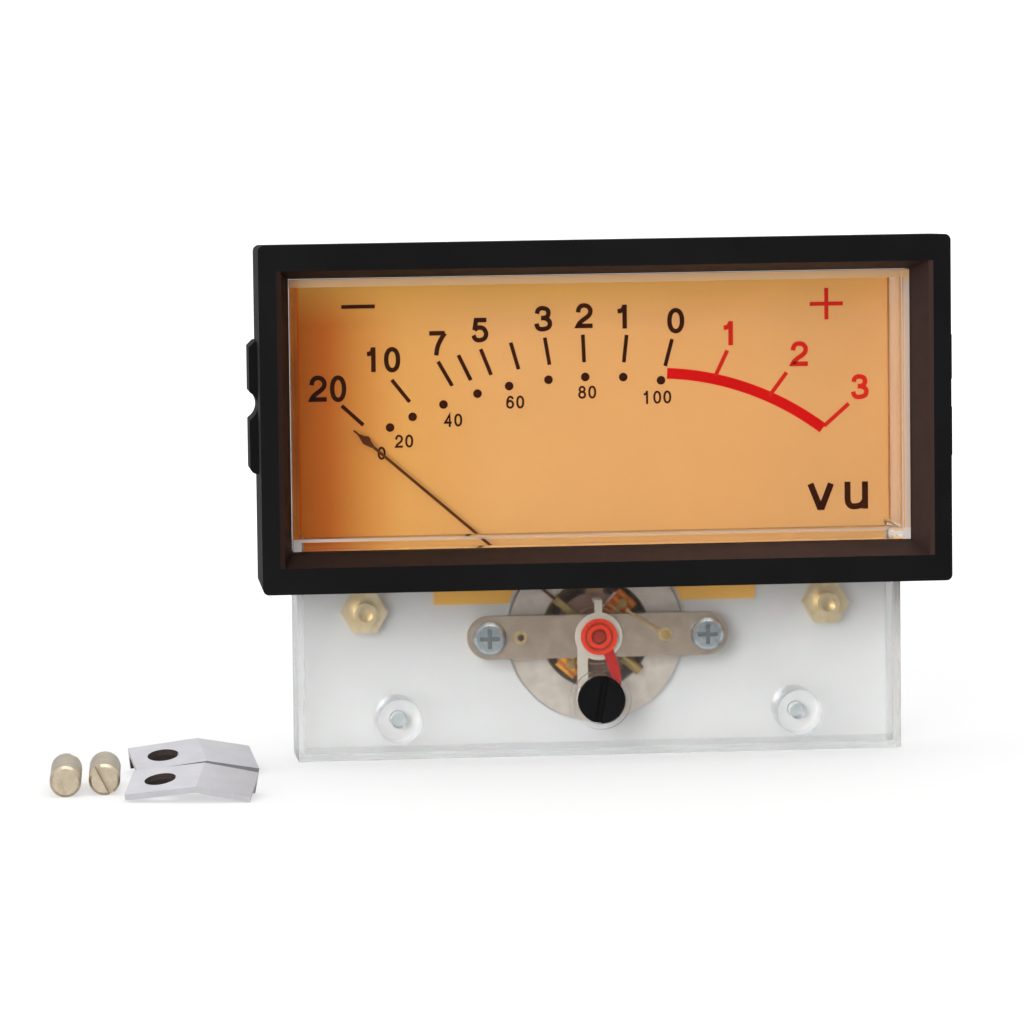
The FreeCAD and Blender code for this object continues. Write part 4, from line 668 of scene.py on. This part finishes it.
# The unit's two letters: x, z, width, height and weight.
UNIT_LETTERS = (("v", 30.15, -12.83, 3.45, 3.74, 0.84), ("u", 34.91, -12.82, 3.14, 3.74, 0.8))

RED_TICKS = ((115.6, 1.87, 5.53), (127.0, 1.41, 5.19), (138.75, 0.82, 5.02))
RED_TICK_WEIGHT = 0.54
RED_FIGURES = (("1", 17.96, 9.04, 1.26, 3.26), ("2", 27.42, 6.15, 2.4, 3.32),
               ("3", 35.48, 1.61, 2.4, 3.34))
RED_FIGURE_WEIGHT = 0.62
PLUS = (((28.86, 12.72), (33.30, 12.72)), ((31.08, 10.62), (31.08, 14.82)))
BAND_START, BAND_SWEEP, BAND_WIDTH, BAND_STEPS = 105.9, 33.0, 1.43, 48


def band_rise(share):
    """How far the middle of the red band lies outside the scale's arc, at a share of its sweep."""
    return 1.01 + 2.3 * share - 2.8 * share * share


def on_arc(angle, beyond=0.0):
    """Where the line from the pivot at this angle meets the scale's arc, or a circle beyond it."""
    a = math.radians(angle)
    way = (-math.cos(a), math.sin(a))
    start = PIVOT_RISE - ARC_RISE
    along = way[1] * start
    radius = ARC_RADIUS + beyond
    reach = -along + math.sqrt(along * along - start * start + radius * radius)
    return (way[0] * reach, PIVOT_RISE + way[1] * reach)


def arc(x, z, rx, rz, start, end, count=16, power=1.0):
    """Points along an ellipse; a power under 1 squares its shoulders."""
    points = []
    for i in range(count + 1):
        t = math.radians(start + (end - start) * i / count)
        c, s = math.cos(t), math.sin(t)
        points.append((x + rx * math.copysign(abs(c) ** power, c),
                       z + rz * math.copysign(abs(s) ** power, s)))
    return points


def loop(x, z, rx, rz, count, power=1.0):
    """A closed ellipse that starts at its top."""
    return arc(x, z, rx, rz, 90, 450, count, power)[:-1]


def smooth(points, count=5):
    """A curve through the points (Catmull-Rom)."""
    ends = [points[0], *points, points[-1]]
    curve = []
    for i in range(1, len(ends) - 2):
        a, b, c, d = (Vector(p) for p in ends[i - 1:i + 3])
        for k in range(count):
            t = k / count
            q = ((b * 2) + (c - a) * t + (a * 2 - b * 5 + c * 4 - d) * t * t
                 + (b * 3 - a - c * 3 + d) * t ** 3) / 2
            curve.append(tuple(q))
    return curve + [points[-1]]


# Plain figures as centre lines in a unit box: (points, closed). Open ends are square, and so they reach
# out of the box by about half a stroke.
FIGURES = {
    "0": [(loop(0.5, 0.5, 0.5, 0.5, 36, 0.92), True)],
    "1": [([(1, -0.11), (1, 1.11)], False),
          (smooth([(-0.45, 0.78), (0.20, 0.80), (0.68, 0.89), (0.97, 1.06)]), False)],
    "2": [(smooth([(0.02, 0.66), (0.08, 0.84), (0.26, 0.97), (0.5, 1.0), (0.78, 0.95), (0.97, 0.78),
                   (0.93, 0.58), (0.70, 0.42), (0.38, 0.28), (0.12, 0.13), (0.0, 0.0)])
           + [(1.14, 0)], False)],
    "3": [(smooth([(0.04, 0.74), (0.12, 0.91), (0.30, 0.99), (0.52, 1.0), (0.80, 0.93), (0.90, 0.77),
                   (0.80, 0.60), (0.55, 0.53), (0.34, 0.53)]), False),
          (smooth([(0.34, 0.53), (0.62, 0.52), (0.90, 0.42), (1.0, 0.26), (0.88, 0.08), (0.52, 0.0),
                   (0.22, 0.02), (0.06, 0.12), (0.0, 0.27)]), False)],
    "4": [([(0.76, -0.11), (0.76, 1), (0, 0.28), (1.1, 0.28)], False)],
    "5": [([(1.04, 1), (0.22, 1), (0.09, 0.50)], False),
          (smooth([(0.09, 0.50), (0.28, 0.60), (0.52, 0.63), (0.82, 0.56), (1.0, 0.33), (0.88, 0.10),
                   (0.50, 0.0), (0.16, 0.06), (0.0, 0.25)]), False)],
    "6": [(smooth([(0.95, 0.78), (0.84, 0.94), (0.55, 1.0), (0.22, 0.90), (0.04, 0.62), (0.0, 0.36)]),
           False),
          (loop(0.5, 0.31, 0.5, 0.31, 28), True)],
    "7": [([(-0.14, 1), (1, 1)], False),
          (smooth([(1, 1), (0.70, 0.68), (0.46, 0.32), (0.35, -0.11)]), False)],
    "8": [(loop(0.5, 0.77, 0.42, 0.23, 24), True),
          (loop(0.5, 0.27, 0.5, 0.27, 28), True)],
    "v": [([(-0.03, 1.07), (0.44, 0), (0.56, 0), (1.03, 1.07)], False)],
    "u": [(smooth([(0, 0.36), (0.04, 0.16), (0.20, 0.02), (0.46, 0.0), (0.78, 0.06), (1.0, 0.28)]),
           False),
          ([(0, 1.12), (0, 0.34)], False), ([(1, 1.12), (1, -0.12)], False)],
}


class Ink:
    """Printed strokes and dots, as thin closed shapes of one mesh on the dial face."""

    def __init__(self, name, look, thickness=INK):
        self.name, self.look, self.mesh = name, look, bmesh.new()
        self.thickness, self.strokes = thickness, 0

    def raise_sheet(self, points, faces):
        """Makes a flat patch of faces on the dial and gives it the ink's thickness. Neighbouring strokes
        differ a little in thickness, since they overlap."""
        made = [self.mesh.verts.new(((x + PRINT_SHIFT) * MM, DIAL_FACE * MM, (z + BEZEL_MIDDLE) * MM))
                for x, z in points]
        thickness = self.thickness + self.strokes % STROKE_STEPS * STROKE_STEP
        self.strokes += 1
        patch = [self.mesh.faces.new([made[i] for i in face]) for face in faces]
        raised = bmesh.ops.extrude_face_region(self.mesh, geom=patch)
        for item in raised["geom"]:
            if isinstance(item, bmesh.types.BMVert):
                item.co.y -= thickness * MM

    def stroke(self, points, width, closed=False):
        """A line of even width along the points, with mitred corners."""
        line = [Vector(p) for p in points]
        count = len(line)
        sides = []
        for i, here in enumerate(line):
            before = line[i - 1] if (i or closed) else None
            after = line[(i + 1) % count] if (i < count - 1 or closed) else None
            ways = [(here - before).normalized()] if before is not None else []
            ways += [(after - here).normalized()] if after is not None else []
            way = sum(ways, Vector((0, 0))).normalized()
            normal = Vector((-way.y, way.x))
            stretch = width / 2 / max(MITRE_LEAST, way.dot(ways[0]))
            sides += [here + normal * stretch, here - normal * stretch]
        steps = range(count if closed else count - 1)
        self.raise_sheet(sides, [(2 * i, 2 * i + 1, (2 * i + 3) % (2 * count), (2 * i + 2) % (2 * count))
                                 for i in steps])

    def dot(self, place, diameter):
        rim = arc(*place, diameter / 2, diameter / 2, 0, 360, 32)[:-1]
        self.raise_sheet(rim, [range(len(rim))])

    def figure(self, name, x, z, width, height, weight):
        """A figure whose outer size is width by height, drawn with strokes of one weight."""
        across, up = width - weight, height - weight
        left, foot = x - across / 2, z - up / 2
        for points, closed in FIGURES[name]:
            self.stroke([(left + across * a, foot + up * b) for a, b in points], weight, closed)

    def number(self, digits, x, z):
        """Small figures side by side, with their middle at x and z."""
        for i, digit in enumerate(digits):
            middle = x + (i - (len(digits) - 1) / 2) * SMALL_ADVANCE
            width = SMALL_HEIGHT * SMALL_OTHER
            if digit == "1":
                middle -= SMALL_HEIGHT * SMALL_ONE_SHIFT
                width = SMALL_HEIGHT * SMALL_ONE
            self.figure(digit, middle, z, width, SMALL_HEIGHT, SMALL_WEIGHT)

    def finish(self):
        bmesh.ops.recalc_face_normals(self.mesh, faces=list(self.mesh.faces))
        data = bpy.data.meshes.new(self.name)
        self.mesh.to_mesh(data)
        self.mesh.free()
        piece = bpy.data.objects.new(self.name, data)
        bpy.context.scene.collection.objects.link(piece)
        paint(piece, self.look)
        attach(piece, "case")


def print_scale(looks):
    dark = Ink("scale_print_dark", looks["black_ink"])
    for angle in DOT_ANGLES:
        dark.dot(on_arc(angle), DOT_DIAMETER)
    for angle in TICK_ANGLES:
        dark.stroke([on_arc(angle, TICK_FROM), on_arc(angle, TICK_TO)], TICK_WEIGHT)
    dark.stroke(MINUS, TICK_WEIGHT)
    for figure in DARK_FIGURES:
        dark.figure(*figure, FIGURE_WEIGHT)
    for number in SMALL_NUMBERS:
        dark.number(*number)
    for letter in UNIT_LETTERS:
        dark.figure(*letter)
    dark.finish()

    red = Ink("scale_print_red", looks["red_ink_line"], RED_LINE_INK)
    for angle, near, far in RED_TICKS:
        red.stroke([on_arc(angle, near), on_arc(angle, far)], RED_TICK_WEIGHT)
    for figure in RED_FIGURES:
        red.figure(*figure, RED_FIGURE_WEIGHT)
    for bar in PLUS:
        red.stroke(bar, RED_TICK_WEIGHT)
    red.finish()

    band = Ink("scale_print_band", looks["red_ink"])
    shares = [i / BAND_STEPS for i in range(BAND_STEPS + 1)]
    band.stroke([on_arc(BAND_START + BAND_SWEEP * share, band_rise(share)) for share in shares], BAND_WIDTH)
    band.finish()


# ---------------------------------------------------------------- room and light
# Half the floor's side in metres, and in mm how far it lies below the meter.
FLOOR_HALF_SIZE = 12
FLOOR_DROP = 0.02
FLOOR_SHADES = (0.42 * 0.985, 0.42)
# How bright the floor is by itself to the camera, at the first and from the second distance.
FLOOR_GLOW = (0.56, 0.85)
GLOW_NEAR, GLOW_FAR = 100, 300
# The same to mirrors, and to mirrors that see the floor in front of the meter, where it dims along Y.
FLOOR_MIRRORED = 0.25
FLOOR_IN_FRONT = 0.06
FRONT_NEAR, FRONT_FAR = -50, -140


def floor_material():
    """White to the camera with the object's shadow on it, pale for other rays, and dark to mirrors
    far in front, where the room is dim."""
    look = Look("floor_white", Roughness=0.9, Specular_IOR_Level=0.1)
    darker, lighter = FLOOR_SHADES
    look.colour(look.ramp(look.noise(0.01, 2), (0.3, darker), (0.7, lighter)))
    seen = look.node("LightPath").outputs
    straight = look.largest(seen["Is Camera Ray"], seen["Is Transmission Ray"])
    glowing = look.span(look.distance((0, 0, 0)), GLOW_NEAR, GLOW_FAR, *FLOOR_GLOW)
    mirrored = look.product(seen["Is Glossy Ray"], FLOOR_MIRRORED)
    glow = look.node("Emission")
    glow.inputs["Color"].default_value = (1, 1, 1, 1)
    look.join(look.largest(look.product(straight, glowing), mirrored), glow.inputs["Strength"])
    lit = look.node("AddShader")
    look.join(look.shader.outputs["BSDF"], lit.inputs[0])
    look.join(glow.outputs["Emission"], lit.inputs[1])
    dim = look.node("Emission")
    look.feed(FLOOR_IN_FRONT, dim.inputs["Color"])
    in_front = look.span(look.axes()[1], FRONT_NEAR, FRONT_FAR)
    dimmed = look.product(in_front, seen["Is Glossy Ray"])
    look.join(look.mix(dimmed, lit.outputs["Shader"], dim.outputs["Emission"]), look.output)
    return look


def make_floor():
    mesh = bmesh.new()
    bmesh.ops.create_grid(mesh, x_segments=1, y_segments=1, size=FLOOR_HALF_SIZE)
    data = bpy.data.meshes.new("floor")
    mesh.to_mesh(data)
    mesh.free()
    floor = bpy.data.objects.new("floor", data)
    floor.location = (0, 0, -FLOOR_DROP * MM)
    bpy.context.scene.collection.objects.link(floor)
    paint(floor, floor_material())


def make_world():
    """An even pale room. To the camera it is white; mirrors see it dim towards the front and below."""
    world = bpy.data.worlds.new("studio")
    bpy.context.scene.world = world
    world.use_nodes = True
    tree = world.node_tree
    background = tree.nodes["Background"]
    axes = tree.nodes.new("ShaderNodeSeparateXYZ")
    tree.links.new(tree.nodes.new("ShaderNodeTexCoord").outputs["Generated"], axes.inputs["Vector"])

    def ramp(axis, low, high, *stops):
        """Greys along one axis of the direction, which runs from low to high."""
        span = tree.nodes.new("ShaderNodeMapRange")
        span.inputs["From Min"].default_value = low
        span.inputs["From Max"].default_value = high
        tree.links.new(axes.outputs[axis], span.inputs["Value"])
        made = tree.nodes.new("ShaderNodeValToRGB")
        for element, (position, grey) in zip(made.color_ramp.elements, stops):
            element.position, element.color = position, (grey, grey, grey, 1)
        tree.links.new(span.outputs["Result"], made.inputs["Fac"])
        return made.outputs["Color"]

    def mixed(kind, factor, a, b):
        mix = tree.nodes.new("ShaderNodeMix")
        mix.data_type, mix.blend_type = "RGBA", kind
        for value, target in ((factor, mix.inputs["Factor"]), (a, mix.inputs["A"]), (b, mix.inputs["B"])):
            if hasattr(value, "default_value"):
                tree.links.new(value, target)
            else:
                target.default_value = value
        return mix.outputs["Result"]

    even = ramp("Y", -1, 1, (0.05, 0.74), (0.6, 0.9))
    overhead = ramp("Z", 0, 1, (0.0, 0.36), (0.45, 0.95))
    behind = ramp("Y", -0.2, 0.4, (0.0, 0.0), (1.0, 0.2))
    path = tree.nodes.new("ShaderNodeLightPath").outputs
    lit = mixed("MIX", path["Is Glossy Ray"], even, mixed("LIGHTEN", 1.0, overhead, behind))
    tree.links.new(mixed("MIX", path["Is Camera Ray"], lit, (1, 1, 1, 1)), background.inputs["Color"])
    background.inputs["Strength"].default_value = 1.0


# Each softbox in metres and watts: its place, its size and its power. All aim at the meter's middle.
LIGHT_AIM = (0, 0, 0.03)
SOFTBOXES = {"key": ((-0.55, -1.1, 0.32), (0.6, 0.6), 7.2), "top": ((0.05, -0.1, 0.95), (0.9, 0.6), 2)}


def make_lights():
    for name, (place, size, watts) in SOFTBOXES.items():
        data = bpy.data.lights.new(name, "AREA")
        data.shape = "RECTANGLE"
        data.size, data.size_y = size
        data.energy = watts
        lamp = bpy.data.objects.new(name, data)
        lamp.location = place
        lamp.rotation_euler = (Vector(LIGHT_AIM) - Vector(place)).to_track_quat("-Z", "Y").to_euler()
        bpy.context.scene.collection.objects.link(lamp)


# ---------------------------------------------------------------- putting it together
bpy.context.scene.view_settings.view_transform = "Standard"
make_camera()
LOOKS = make_looks()
dress_nodes(LOOKS)
print_scale(LOOKS)
make_floor()
make_world()
make_lights()
